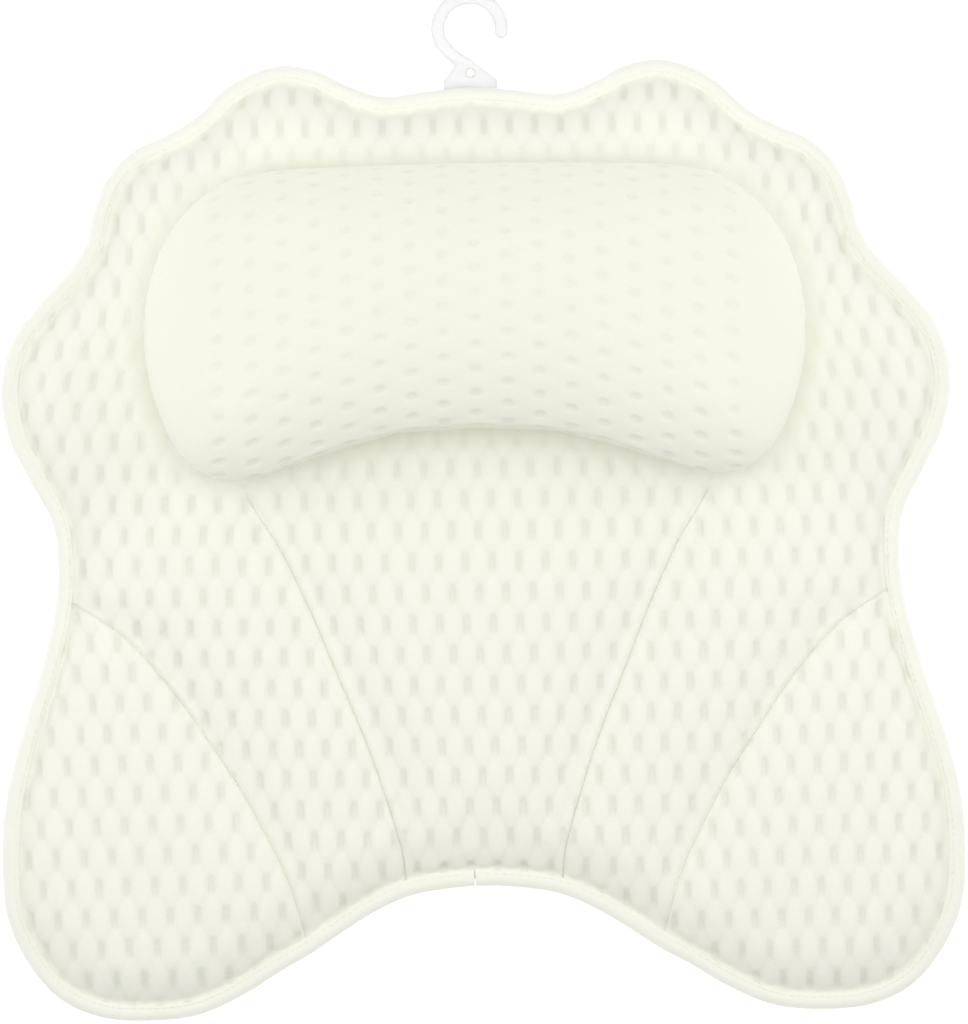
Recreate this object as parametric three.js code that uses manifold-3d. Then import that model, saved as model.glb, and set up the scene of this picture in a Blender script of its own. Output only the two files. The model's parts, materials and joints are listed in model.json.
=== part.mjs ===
// Bath pillow: a butterfly shaped pad of air mesh with a raised head bolster, a bound edge,
// a hanging hook and six suction cups. It lies on its back, on the rims of its cups.
// Millimetres. +Z points up out of the front face, +Y to the hook end, X across.
// The origin is under the middle of the whole outline, at the level of the cup rims.

import * as THREE from "three";
import { mergeVertices } from "three/addons/utils/BufferGeometryUtils.js";
import Module from "manifold-3d";

const wasm = await Module();
wasm.setup();

// Fit between pieces that touch on the real object
const clearance = 0.3;
const cutOverrun = 1.5;

// Pad
const padWidth = 400;
const padLength = 395.6;
const padCrown = 20;
const backThickness = 2;
const panelThickness = 3;
const coreInset = 15;
const edgeRoll = 9;
const edgeRollPower = 1.5;
const seamDip = 3.2;
const seamReach = 9;
const dartDip = 2.4;
const seamGap = 0.4;

// Edge binding
const bindingWidth = 7;
const bindingThickness = 1.2;
const bindingButtGap = 0.4;
const bindingRoundShare = 0.25;
const flangeMargin = 1;
const flangeWidth = bindingWidth + flangeMargin;

// Bolster
const bolsterWidth = 273;
const bolsterDepth = 128;
const collarDepth = 44.2;
const bolsterFromMiddle = (padLength - bolsterDepth) / 2 - collarDepth;
const bolsterBulgeHeight = 24;
const bolsterEdgeRadius = 36;
const bolsterCrown = 2;
const bolsterDrawIn = 5;
const bolsterLowerInset = 1.2;
const bolsterLowerShare = 0.4;
const bolsterReachShare = 0.42;
const bolsterReach = bolsterDepth * bolsterReachShare;
const bolsterFlatShare = 0.8;
const bolsterSpineLift = 9;
const bolsterCoverThickness = 3;
const liningThickness = 1.2;

// Suction cups
const cupRadius = 27;
const cupRimWidth = 2.2;
const cupRimHeight = 1;
const cupHeight = 10;
const cupCrownThickness = 4.6;
const cupHollow = cupHeight - cupCrownThickness;
const cupBellShare = 0.5;
const cupBellHeightShare = 0.82;
const cupHollowHeightShare = 0.85;
const cupNeckRadius = 5;
const cupShoulder = 2;
const cupHeadRadius = 9;
const cupHeadHeight = 3.4;
const cupHeadBevel = 1.2;
const cupTabReach = 7;
const cupTabWidth = 12;
const cupTabThickness = 1.6;

// Straps that hold the cups
const strapWidth = 25;
const strapThickness = 1.2;
const strapFlatLength = 12;
const strapSlopeLength = 8;
const strapHeadRoom = 3;
const strapBridgeLength = 2 * (cupHeadRadius + strapHeadRoom);

// Hanging hook and its loop
const hookInnerRadius = 10.4;
const hookBarWidth = 5.6;
const hookBarThickness = 3.6;
const hookBarEdge = 1;
const hookHeightOverPad = 24.2;
const hookTipDegrees = -6;
const hookBendDegrees = 205;
const hookShankInShare = 0.45;
const hookShankDownShare = 0.55;
const hookShankFootShare = 0.72;
const loopWidth = 14;
const hookSlotMargin = 1;
const hookSlotWidth = loopWidth + 2 * hookSlotMargin;
const hookFootRim = 3;
const hookFootWidth = hookSlotWidth + 2 * hookFootRim;
const hookFootPeak = 13;
const hookFootShoulder = 3;
const hookFootThickness = 2.4;
const hookFootBar = 2.5;
const hookEyeRadius = 1.5;
const hookEyeFromEdge = 6;
const loopThickness = 1.2;
const loopSewnLength = 9;
const loopTaperLength = 11;

// Where one piece's level follows from the piece under it
const strapLevel = cupHeight + clearance;
const cupHeadLevel = strapLevel + strapThickness + clearance;
const backLevel = cupHeadLevel + cupHeadHeight + 2 * clearance;
const coreLevel = backLevel + backThickness + clearance;
const edgeTop = coreLevel + panelThickness;
const crownTop = backLevel + padCrown;
const liningLevel = crownTop + clearance;
const bolsterLevel = liningLevel + liningThickness + clearance;

// Counts
const outlineSteps = 90;
const outlineFineSteps = 360;
const seamLineSteps = 24;
const bolsterSteps = 44;
const bolsterRoundSteps = 4;
const cupSides = 16;
const hookBendSteps = 18;
const hookShankSteps = 5;
const hookEyeSteps = 5;
const loopBendSteps = 8;
const wingRows = 11;
const cornerRows = 11;
const cornerColumns = 4;

// Half of the outline, from the top centre round to the bottom centre, as shares of half the
// pad's width and half its length
const outlineShares = [
  [0, 0.948], [0.087, 0.941], [0.183, 0.931], [0.258, 0.956], [0.314, 0.985], [0.383, 1],
  [0.45, 0.985], [0.512, 0.95], [0.567, 0.897], [0.633, 0.857], [0.7, 0.827], [0.754, 0.773],
  [0.785, 0.701], [0.802, 0.634], [0.837, 0.579], [0.906, 0.503], [0.96, 0.429], [0.985, 0.33],
  [0.971, 0.229], [0.927, 0.134], [0.883, 0.046], [0.874, -0.028], [0.877, -0.108],
  [0.898, -0.213], [0.929, -0.319], [0.965, -0.434], [0.991, -0.546], [1, -0.656],
  [0.99, -0.782], [0.948, -0.877], [0.885, -0.951], [0.8, -0.991], [0.698, -1],
  [0.596, -0.989], [0.5, -0.947], [0.427, -0.902], [0.36, -0.864], [0.3, -0.824],
  [0.229, -0.78], [0.156, -0.748], [0.079, -0.734], [0, -0.729],
];
// Which of those points start or end something
const peakPoint = 5;
const lobePoint = 11;
const notchPoint = 22;
const archPoint = 36;
const dartPoint = 39;
const dartNotchPoint = 2;
const lastPoint = outlineShares.length - 1;

// Seams of the right half, in the same shares: the dart runs on up under the bolster as a
// plain line of the grid
const dartGuideShares = [[0.44, 0.78], [0.48, 0.55], [0.49, 0.31]];
const dartShares = [
  [0.47, 0.092], [0.41, -0.017], [0.354, -0.138], [0.3, -0.28], [0.246, -0.42],
  [0.2, -0.55], [0.168, -0.66],
];
const cornerSeamShares = [
  [0.74, -0.193], [0.646, -0.299], [0.566, -0.415], [0.5, -0.52], [0.447, -0.621],
  [0.408, -0.706],
];
const notchRowShare = -0.13;
const middleColumnShares = [0, 0.32, 0.62, 0.86, 1];
const wingColumnShares = [0, 0.13, 0.33, 0.58, 0.82, 1];

// Half of the bolster's outline, from its top centre round, as shares of half its width and depth
const bolsterShares = [
  [0, 1], [0.36, 1], [0.61, 0.985], [0.74, 0.93], [0.84, 0.79], [0.92, 0.59], [0.975, 0.32],
  [1, 0], [0.99, -0.3], [0.955, -0.58], [0.885, -0.86], [0.8, -0.98], [0.71, -1],
  [0.57, -0.9], [0.415, -0.79], [0.23, -0.7], [0, -0.67],
];
const bolsterSpineShare = 0.57;

// Centres of the right-hand cups, in the outline's shares
const cupPlaceShares = [[0.5, 0.68], [0.62, 0.05], [0.62, -0.66]];

// Colours and finishes
const airMesh = { color: 0xf4f4ea, roughness: 0.85, metalness: 0 };
const bolsterMesh = { color: 0xf6f6ee, roughness: 0.85, metalness: 0 };
const tape = { color: 0xf1f1e6, roughness: 0.8, metalness: 0 };
const filling = { color: 0xe9e9e2, roughness: 0.95, metalness: 0 };
const webbing = { color: 0xeeeee4, roughness: 0.9, metalness: 0 };
const clearPlastic = { color: 0xdfe6e6, roughness: 0.12, metalness: 0 };
const softVinyl = { color: 0xe4ebea, roughness: 0.2, metalness: 0 };

// Geometry helpers

function place(x, y, z = 0) {
  return new THREE.Vector3(x, y, z);
}

// A closed smooth curve through half an outline and its mirror image.
function mirroredCurve(halfShares, halfWidth, halfLength, middle) {
  const right = halfShares.map(([x, y]) => place(x * halfWidth, middle + y * halfLength));
  const left = halfShares.slice(1, -1).reverse()
    .map(([x, y]) => place(-x * halfWidth, middle + y * halfLength));
  return new THREE.CatmullRomCurve3([...right, ...left], true, "centripetal");
}

// A point of a clockwise curve, moved in towards its inside.
function inwards(point, tangent, inset) {
  return place(point.x + tangent.y * inset, point.y - tangent.x * inset);
}

function mix(from, to, share) {
  return from + (to - from) * share;
}

function between(from, to, share) {
  return place(mix(from.x, to.x, share), mix(from.y, to.y, share));
}

function mirrored(point) {
  return place(-point.x, point.y);
}

// A closed body from corners and triangles. Equal corners are merged, and a triangle that
// closes up by that is left out.
function bodyOf(corners, triangles) {
  const loose = new THREE.BufferGeometry();
  loose.setAttribute("position", new THREE.Float32BufferAttribute(corners.flat(), 3));
  loose.setIndex(triangles.flat());
  const merged = mergeVertices(loose);
  const index = merged.index.array;
  const kept = [];
  for (let i = 0; i < index.length; i += 3) {
    const [a, b, c] = [index[i], index[i + 1], index[i + 2]];
    if (a !== b && b !== c && c !== a) kept.push(a, b, c);
  }
  merged.setIndex(kept);
  return merged;
}

function solidOf(geometry) {
  const bare = geometry.clone();
  bare.deleteAttribute("normal");
  bare.deleteAttribute("uv");
  const merged = mergeVertices(bare);
  return new wasm.Manifold(new wasm.Mesh({
    numProp: 3,
    vertProperties: new Float32Array(merged.attributes.position.array),
    triVerts: new Uint32Array(merged.index.array),
  }));
}

function geometryOf(solid) {
  const mesh = solid.getMesh();
  const geometry = new THREE.BufferGeometry();
  geometry.setAttribute("position", new THREE.BufferAttribute(mesh.vertProperties, 3));
  geometry.setIndex(new THREE.BufferAttribute(mesh.triVerts, 1));
  return geometry;
}

// An upright prism over a flat loop of points.
function prism(loop, from, to) {
  const shape = new THREE.Shape(loop.map((point) => new THREE.Vector2(point.x, point.y)));
  const geometry = new THREE.ExtrudeGeometry(shape, { depth: to - from, bevelEnabled: false });
  geometry.translate(0, 0, from);
  return geometry;
}

// A closed slab over a grid of points, between an upper and a lower sheet. Its rows run
// towards -Y and its columns towards +X.
function slab(rows, topAt, bottomAt) {
  const rowCount = rows.length;
  const columnCount = rows[0].length;
  const upper = rows.flat().map((point) => [point.x, point.y, topAt(point)]);
  const lower = rows.flat().map((point) => [point.x, point.y, bottomAt(point)]);
  const below = upper.length;
  const at = (row, column) => row * columnCount + column;
  const triangles = [];
  for (let row = 0; row + 1 < rowCount; row += 1) {
    for (let column = 0; column + 1 < columnCount; column += 1) {
      const [a, b] = [at(row, column), at(row, column + 1)];
      const [c, d] = [at(row + 1, column), at(row + 1, column + 1)];
      triangles.push([a, c, d], [a, d, b]);
      triangles.push([below + a, below + d, below + c], [below + a, below + b, below + d]);
    }
  }
  const rim = [];
  for (let column = 0; column < columnCount; column += 1) rim.push(at(0, column));
  for (let row = 1; row < rowCount; row += 1) rim.push(at(row, columnCount - 1));
  for (let column = columnCount - 2; column >= 0; column -= 1) rim.push(at(rowCount - 1, column));
  for (let row = rowCount - 2; row > 0; row -= 1) rim.push(at(row, 0));
  rim.forEach((a, i) => {
    const b = rim[(i + 1) % rim.length];
    triangles.push([a, b, below + b], [a, below + b, below + a]);
  });
  return bodyOf([...upper, ...lower], triangles);
}

// A flat section carried along a line of stations, square to it. Each station has a point and
// the way across; the section gives steps across and levels, turning anticlockwise.
function sweep(stations, section) {
  const sides = section.length;
  const corners = stations.flatMap(({ point, across }) => section.map(([step, level]) => [
    point.x + across.x * step, point.y + across.y * step, level,
  ]));
  const triangles = [];
  for (let i = 0; i + 1 < stations.length; i += 1) {
    for (let j = 0; j < sides; j += 1) {
      const next = (j + 1) % sides;
      const [a, b] = [i * sides + j, i * sides + next];
      const [c, d] = [a + sides, b + sides];
      triangles.push([a, d, b], [a, c, d]);
    }
  }
  const flat = section.map(([step, level]) => new THREE.Vector2(step, level));
  const last = (stations.length - 1) * sides;
  THREE.ShapeUtils.triangulateShape(flat, []).forEach(([a, b, c]) => {
    triangles.push([a, b, c], [last + a, last + c, last + b]);
  });
  return bodyOf(corners, triangles);
}

// A closed body from rings of equal count, lowest first, with a flat cap at each end.
function stackedRings(rings) {
  const count = rings[0].length;
  const corners = rings.flat().map((point) => [point.x, point.y, point.z]);
  const triangles = [];
  for (let ring = 0; ring + 1 < rings.length; ring += 1) {
    for (let i = 0; i < count; i += 1) {
      const next = (i + 1) % count;
      const [a, b] = [ring * count + i, ring * count + next];
      const [c, d] = [a + count, b + count];
      triangles.push([a, c, d], [a, d, b]);
    }
  }
  const top = (rings.length - 1) * count;
  const capOf = (ring) => THREE.ShapeUtils.triangulateShape(
    ring.map((point) => new THREE.Vector2(point.x, point.y)), []);
  capOf(rings[rings.length - 1]).forEach(([a, b, c]) => {
    triangles.push([top + a, top + b, top + c]);
  });
  capOf(rings[0]).forEach(([a, b, c]) => triangles.push([a, c, b]));
  return bodyOf(corners, triangles);
}

const pillow = new THREE.Group();

function addPiece(name, geometry, finish) {
  const mesh = new THREE.Mesh(geometry, new THREE.MeshStandardMaterial(finish));
  mesh.name = name;
  pillow.add(mesh);
  return mesh;
}

// Outline of the pad

const halfWidth = padWidth / 2;
const halfLength = padLength / 2;
const outline = mirroredCurve(outlineShares, halfWidth, halfLength, 0);
const outlineCount = outline.points.length;

function shared([x, y]) {
  return place(x * halfWidth, y * halfLength);
}

// The outline at a numbered point, or part of the way to the next, moved in by an inset.
function edgePoint(number, inset) {
  const share = number / outlineCount;
  return inwards(outline.getPoint(share), outline.getTangent(share), inset);
}

// The whole outline as an even loop, moved in by an inset.
function edgeLoop(inset) {
  const loop = [];
  for (let i = 0; i < outlineSteps; i += 1) {
    const share = i / outlineSteps;
    loop.push(inwards(outline.getPointAt(share), outline.getTangentAt(share), inset));
  }
  return loop;
}

// Seams

const dartEnd = edgePoint(dartPoint, flangeWidth);
const dartStart = edgePoint(peakPoint, flangeWidth);
const dartRail = new THREE.CatmullRomCurve3(
  [dartStart, ...dartGuideShares.map(shared), ...dartShares.map(shared), dartEnd],
  false, "centripetal");
const dartNotchNumber = 1 + dartGuideShares.length + dartNotchPoint;
const dartCount = dartRail.points.length - 1;
const cornerSeam = new THREE.CatmullRomCurve3(
  [edgePoint(notchPoint, flangeWidth), ...cornerSeamShares.map(shared),
    edgePoint(archPoint, flangeWidth)],
  false, "centripetal");
const dartLine = new THREE.CatmullRomCurve3(
  [...dartShares.map(shared), dartEnd, edgePoint(dartPoint, 0)], false, "centripetal")
  .getPoints(seamLineSteps);
const cornerSeamLine = cornerSeam.getSpacedPoints(seamLineSteps);

function distanceTo(line, point) {
  let least = Infinity;
  for (let i = 0; i + 1 < line.length; i += 1) {
    const [a, b] = [line[i], line[i + 1]];
    const [dx, dy] = [b.x - a.x, b.y - a.y];
    const along = ((point.x - a.x) * dx + (point.y - a.y) * dy) / (dx * dx + dy * dy);
    const held = Math.min(1, Math.max(0, along));
    least = Math.min(least, Math.hypot(point.x - a.x - dx * held, point.y - a.y - dy * held));
  }
  return least;
}

const edgeLine = outline.getSpacedPoints(outlineFineSteps);

// Height of the pad's front: flat under the binding, rolled up to the crown, and drawn down
// along the seams.
function frontLevel(point) {
  const folded = place(Math.abs(point.x), point.y);
  const inside = Math.max(0, distanceTo(edgeLine, point) - flangeWidth);
  const rolled = 1 - Math.exp(-((inside / edgeRoll) ** edgeRollPower));
  const atSeam = Math.exp(-((distanceTo(cornerSeamLine, folded) / seamReach) ** 2));
  const atDart = Math.exp(-((distanceTo(dartLine, folded) / seamReach) ** 2));
  return edgeTop + (crownTop - edgeTop - seamDip * atSeam - dartDip * atDart) * rolled;
}

// Grids of the pad: a middle and two wings with rows in common, and two corners

// Fills a four-sided block whose sides are given row by row and as curves of a share.
function blockRows(leftRail, rightRail, topAt, bottomAt, columnShares) {
  const last = leftRail.length - 1;
  return leftRail.map((left, row) => {
    const right = rightRail[row];
    const down = row / last;
    return columnShares.map((share) => {
      const straight = between(left, right, share);
      const top = topAt(share).sub(between(leftRail[0], rightRail[0], share));
      const bottom = bottomAt(share).sub(between(leftRail[last], rightRail[last], share));
      return straight.addScaledVector(top, 1 - down).addScaledVector(bottom, down);
    });
  });
}

const rowCount = wingRows + cornerRows;
const centreRail = [];
const dartRows = [];
const sideRail = [];
const sideEdge = [];
const topCentre = edgePoint(0, flangeWidth);
const archCentre = edgePoint(lastPoint, flangeWidth);
const notchRow = place(0, notchRowShare * halfLength);
for (let row = 0; row <= rowCount; row += 1) {
  const low = row - wingRows;
  if (low < 0) {
    const share = row / wingRows;
    const number = mix(lobePoint, notchPoint, share);
    centreRail.push(between(topCentre, notchRow, share));
    dartRows.push(dartRail.getPoint(mix(0, dartNotchNumber, share) / dartCount));
    sideRail.push(edgePoint(number, flangeWidth));
    sideEdge.push(edgePoint(number, -cutOverrun));
  } else {
    const share = low / cornerRows;
    const onSeam = cornerSeam.getPointAt(share);
    centreRail.push(between(notchRow, archCentre, share));
    dartRows.push(dartRail.getPoint(mix(dartNotchNumber, dartCount, share) / dartCount));
    sideRail.push(onSeam);
    sideEdge.push(low === 0 ? edgePoint(notchPoint, -cutOverrun) : onSeam);
  }
}

const topAlong = (from, to) => (share) => edgePoint(mix(from, to, share), flangeWidth);
const middleBlock = blockRows(centreRail, dartRows, topAlong(0, peakPoint),
  topAlong(lastPoint, dartPoint), middleColumnShares);
const wingBlock = blockRows(dartRows, sideRail, topAlong(peakPoint, lobePoint),
  topAlong(dartPoint, archPoint), wingColumnShares);

const halfRows = middleBlock.map((row, i) => [...row, ...wingBlock[i].slice(1)]);
const columnEdges = (numbers) => numbers.map((number) => edgePoint(number, -cutOverrun));
const columnNumbers = (first, middle, last) => [
  ...middleColumnShares.map((share) => mix(first, middle, share)),
  ...wingColumnShares.slice(1).map((share) => mix(middle, last, share)),
];
const topEdge = columnEdges(columnNumbers(0, peakPoint, lobePoint));
const archEdge = columnEdges(columnNumbers(lastPoint, dartPoint, archPoint));

function bothHalves(right) {
  return [...right.slice(1).reverse().map(mirrored), ...right];
}

// The front panel has a flange outside its inner grid. At the notch its side leaves the
// outline for the seam, so the row there comes twice.
const frontInner = halfRows.map(bothHalves);
const frontGrid = [
  bothHalves([...topEdge, topEdge[topEdge.length - 1]]),
  ...halfRows.map((row, i) => bothHalves([...row, sideEdge[i]])),
  bothHalves([...archEdge, archEdge[archEdge.length - 1]]),
];
frontGrid.splice(wingRows + 2, 0, bothHalves([...halfRows[wingRows], sideRail[wingRows]]));

const cornerInner = [];
const cornerGrid = [];
for (let row = 0; row <= cornerRows; row += 1) {
  const number = mix(notchPoint, archPoint, row / cornerRows);
  const inner = sideRail[wingRows + row];
  const outer = edgePoint(number, flangeWidth);
  const across = [];
  for (let column = 0; column <= cornerColumns; column += 1) {
    across.push(between(inner, outer, column / cornerColumns));
  }
  cornerInner.push(across);
  cornerGrid.push([...across, edgePoint(number, -cutOverrun)]);
}
const turned = (rows) => rows.map((row) => row.map(mirrored).reverse());

// Pad pieces

const highAbove = crownTop + padCrown;
const panelPrism = solidOf(prism(edgeLoop(bindingThickness + clearance), 0, highAbove));
const corePrism = solidOf(prism(edgeLoop(coreInset), coreLevel, highAbove));

// The gap along a corner seam, as a thin upright wall.
function seamWall(side) {
  const line = [edgePoint(notchPoint, -2 * cutOverrun), ...sideRail.slice(wingRows),
    edgePoint(archPoint, -2 * cutOverrun)];
  const stations = line.map((point, i) => {
    const before = line[Math.max(0, i - 1)];
    const after = line[Math.min(line.length - 1, i + 1)];
    const tangent = place(after.x - before.x, after.y - before.y).normalize();
    return { point, across: place(tangent.y, -tangent.x) };
  });
  const wall = sweep(stations, [
    [-seamGap / 2, 0], [seamGap / 2, 0], [seamGap / 2, highAbove], [-seamGap / 2, highAbove],
  ]);
  return side > 0 ? solidOf(wall) : solidOf(wall).mirror([1, 0, 0]);
}

const seamWalls = seamWall(1).add(seamWall(-1));
const panelBottom = (point) => frontLevel(point) - panelThickness;

function panelOf(rows) {
  return geometryOf(solidOf(slab(rows, frontLevel, panelBottom))
    .intersect(panelPrism).subtract(seamWalls));
}

function coreBlock(rows) {
  return solidOf(slab(rows, (point) => panelBottom(point) - clearance, () => 0));
}

addPiece("back_cover", prism(edgeLoop(bindingThickness + clearance), backLevel,
  backLevel + backThickness), airMesh);
addPiece("pad_core", geometryOf(coreBlock(frontInner).add(coreBlock(cornerInner))
  .add(coreBlock(turned(cornerInner))).intersect(corePrism)), filling);
addPiece("front_panel", panelOf(frontGrid), airMesh);
addPiece("right_corner_panel", panelOf(cornerGrid), airMesh);
addPiece("left_corner_panel", panelOf(turned(cornerGrid)), airMesh);

// Edge binding: a folded tape whose ends butt at the bottom centre

const bindingTop = edgeTop + clearance + bindingThickness;
const bindingBottom = backLevel - clearance - bindingThickness;
const bindingSection = [
  [bindingWidth, bindingBottom], [bindingWidth, bindingBottom + bindingThickness],
  [bindingThickness, bindingBottom + bindingThickness],
  [bindingThickness, bindingTop - bindingThickness],
  [bindingWidth, bindingTop - bindingThickness], [bindingWidth, bindingTop],
  [bindingThickness, bindingTop],
  [0, mix(bindingTop, bindingBottom, bindingRoundShare)],
  [0, mix(bindingBottom, bindingTop, bindingRoundShare)],
  [bindingThickness, bindingBottom],
];
const bindingStations = [];
const buttShare = bindingButtGap / outline.getLength() / 2;
for (let i = 0; i <= outlineSteps; i += 1) {
  const along = mix(buttShare, 1 - buttShare, i / outlineSteps);
  const share = (along + 0.5) % 1;
  const tangent = outline.getTangentAt(share);
  bindingStations.push({ point: outline.getPointAt(share), across: place(tangent.y, -tangent.x) });
}
addPiece("edge_binding", sweep(bindingStations, bindingSection), tape);

// Bolster

const bolsterOutline = mirroredCurve(bolsterShares, bolsterWidth / 2, bolsterDepth / 2,
  bolsterFromMiddle);

// A ring round the bolster: its outline drawn in towards the line along its middle.
function bolsterRing(inset, level) {
  const ring = [];
  for (let i = 0; i < bolsterSteps; i += 1) {
    const point = bolsterOutline.getPointAt(i / bolsterSteps);
    const spineX = point.x * bolsterSpineShare;
    const offCentre = point.x / (bolsterWidth / 2);
    const spineY = bolsterFromMiddle + bolsterSpineLift * (1 - 2 * offCentre ** 2);
    const drawn = between(point, place(spineX, spineY), inset / bolsterReach);
    ring.push(place(drawn.x, drawn.y, level));
  }
  return ring;
}

// Rings of the bolster's outside, or of a skin inside it at a depth.
function bolsterRings(depth, base) {
  const radius = bolsterEdgeRadius - depth;
  const bulge = bolsterLevel + bolsterBulgeHeight;
  const rings = [
    bolsterRing(bolsterDrawIn + depth, base),
    bolsterRing(bolsterLowerInset + depth, mix(bolsterLevel, bulge, bolsterLowerShare)),
  ];
  for (let i = 0; i <= bolsterRoundSteps; i += 1) {
    const angle = (Math.PI / 2) * (i / bolsterRoundSteps);
    rings.push(bolsterRing(depth + radius * (1 - Math.cos(angle)),
      bulge + radius * Math.sin(angle)));
  }
  rings.push(bolsterRing(bolsterReach * bolsterFlatShare, bulge + radius + bolsterCrown));
  return rings;
}

const bolsterOutside = solidOf(stackedRings(bolsterRings(0, bolsterLevel)));
const bolsterInside = solidOf(stackedRings(bolsterRings(bolsterCoverThickness,
  bolsterLevel - cutOverrun)));
addPiece("bolster_lining", prism(bolsterRing(bolsterDrawIn, 0), liningLevel,
  liningLevel + liningThickness), webbing);
addPiece("bolster_cover", geometryOf(bolsterOutside.subtract(bolsterInside)), bolsterMesh);
addPiece("bolster_core", stackedRings(bolsterRings(bolsterCoverThickness + clearance,
  bolsterLevel)), filling);

// Suction cups and the straps that hold them

function cupGeometry() {
  const profile = [
    [0, cupHollow], [cupRadius * cupBellShare, cupHollow * cupHollowHeightShare],
    [cupRadius - cupRimWidth, 0], [cupRadius, 0], [cupRadius, cupRimHeight],
    [cupRadius * cupBellShare, cupHeight * cupBellHeightShare],
    [cupNeckRadius + cupShoulder, cupHeight], [cupNeckRadius, cupHeight],
    [cupNeckRadius, cupHeadLevel],
    [cupHeadRadius, cupHeadLevel], [cupHeadRadius, cupHeadLevel + cupHeadHeight - cupHeadBevel],
    [cupHeadRadius - cupHeadBevel, cupHeadLevel + cupHeadHeight],
    [0, cupHeadLevel + cupHeadHeight],
  ].map(([radius, level]) => new THREE.Vector2(radius, level));
  const bell = new THREE.LatheGeometry(profile, cupSides);
  bell.rotateX(Math.PI / 2);
  const tab = new THREE.Shape();
  tab.moveTo(cupRadius - cupRimWidth, -cupTabWidth / 2);
  tab.lineTo(cupRadius + cupTabReach / 2, -cupTabWidth / 2);
  tab.lineTo(cupRadius + cupTabReach, -cupTabWidth / 4);
  tab.lineTo(cupRadius + cupTabReach, cupTabWidth / 4);
  tab.lineTo(cupRadius + cupTabReach / 2, cupTabWidth / 2);
  tab.lineTo(cupRadius - cupRimWidth, cupTabWidth / 2);
  const tabBody = new THREE.ExtrudeGeometry(tab, { depth: cupTabThickness, bevelEnabled: false });
  return geometryOf(solidOf(bell).add(solidOf(tabBody)));
}

function strapGeometry() {
  const low = strapLevel;
  const high = backLevel - clearance - strapThickness;
  const [flat, slope] = [strapBridgeLength / 2, strapBridgeLength / 2 + strapSlopeLength];
  const end = slope + strapFlatLength;
  const under = [
    [-end, high], [-slope, high], [-flat, low], [flat, low], [slope, high], [end, high],
  ];
  const over = under.map(([x, level]) => [x, level + strapThickness]).reverse();
  const side = new THREE.Shape([...under, ...over].map(([x, level]) => new THREE.Vector2(x, level)));
  const band = new THREE.ExtrudeGeometry(side, { depth: strapWidth, bevelEnabled: false });
  band.rotateX(Math.PI / 2);
  band.translate(0, strapWidth / 2, 0);
  const hole = new THREE.CylinderGeometry(cupNeckRadius + clearance, cupNeckRadius + clearance,
    cupHeight, cupSides);
  hole.rotateX(Math.PI / 2);
  hole.translate(0, 0, strapLevel);
  return geometryOf(solidOf(band).subtract(solidOf(hole)));
}

const cupPlaces = cupPlaceShares.map(shared).flatMap((point) => [point, mirrored(point)]);
cupPlaces.forEach((point, i) => {
  const cup = addPiece(`suction_cup_${i + 1}`, cupGeometry(), softVinyl);
  cup.position.set(point.x, point.y, 0);
  cup.rotation.z = point.x > 0 ? 0 : Math.PI;
  const strap = addPiece(`cup_strap_${i + 1}`, strapGeometry(), webbing);
  strap.position.set(point.x, point.y, 0);
});

// Hanging hook, flat behind the top edge, and its loop

const hookBarDiagonal = Math.hypot(hookFootBar, hookFootThickness) / 2;
const loopInside = hookBarDiagonal + clearance;
const loopOutside = loopInside + loopThickness;
const hookLevel = backLevel - clearance - loopOutside;
const topEdgeY = edgePoint(0, 0).y;
const hookPivotY = topEdgeY - bindingWidth - loopOutside - clearance;
const hookMiddleRadius = hookInnerRadius + hookBarWidth / 2;
const hookArcY = topEdgeY + hookHeightOverPad;
const hookTopY = hookArcY + hookMiddleRadius + hookBarWidth / 2;

function hookFootGeometry() {
  const half = hookFootWidth / 2;
  const base = hookPivotY - hookFootBar / 2;
  const shoulder = topEdgeY + hookFootShoulder;
  const peak = topEdgeY + hookFootPeak;
  const foot = new THREE.Shape();
  foot.moveTo(-half, base);
  foot.lineTo(half, base);
  foot.lineTo(half, shoulder);
  foot.lineTo(hookBarWidth / 2, peak);
  foot.lineTo(-hookBarWidth / 2, peak);
  foot.lineTo(-half, shoulder);
  foot.closePath();
  const slotFrom = hookPivotY + hookFootBar / 2;
  const slotTo = hookPivotY + loopOutside + 2 * clearance;
  const slot = new THREE.Path();
  slot.moveTo(-hookSlotWidth / 2, slotFrom);
  slot.lineTo(-hookSlotWidth / 2, slotTo);
  slot.lineTo(hookSlotWidth / 2, slotTo);
  slot.lineTo(hookSlotWidth / 2, slotFrom);
  slot.closePath();
  const eye = new THREE.Path();
  eye.absarc(0, topEdgeY + hookEyeFromEdge, hookEyeRadius, 0, 2 * Math.PI, true);
  foot.holes.push(slot, eye);
  const plate = new THREE.ExtrudeGeometry(foot, {
    depth: hookFootThickness, bevelEnabled: false, curveSegments: hookEyeSteps,
  });
  plate.translate(0, 0, hookLevel - hookFootThickness / 2);
  return plate;
}

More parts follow.
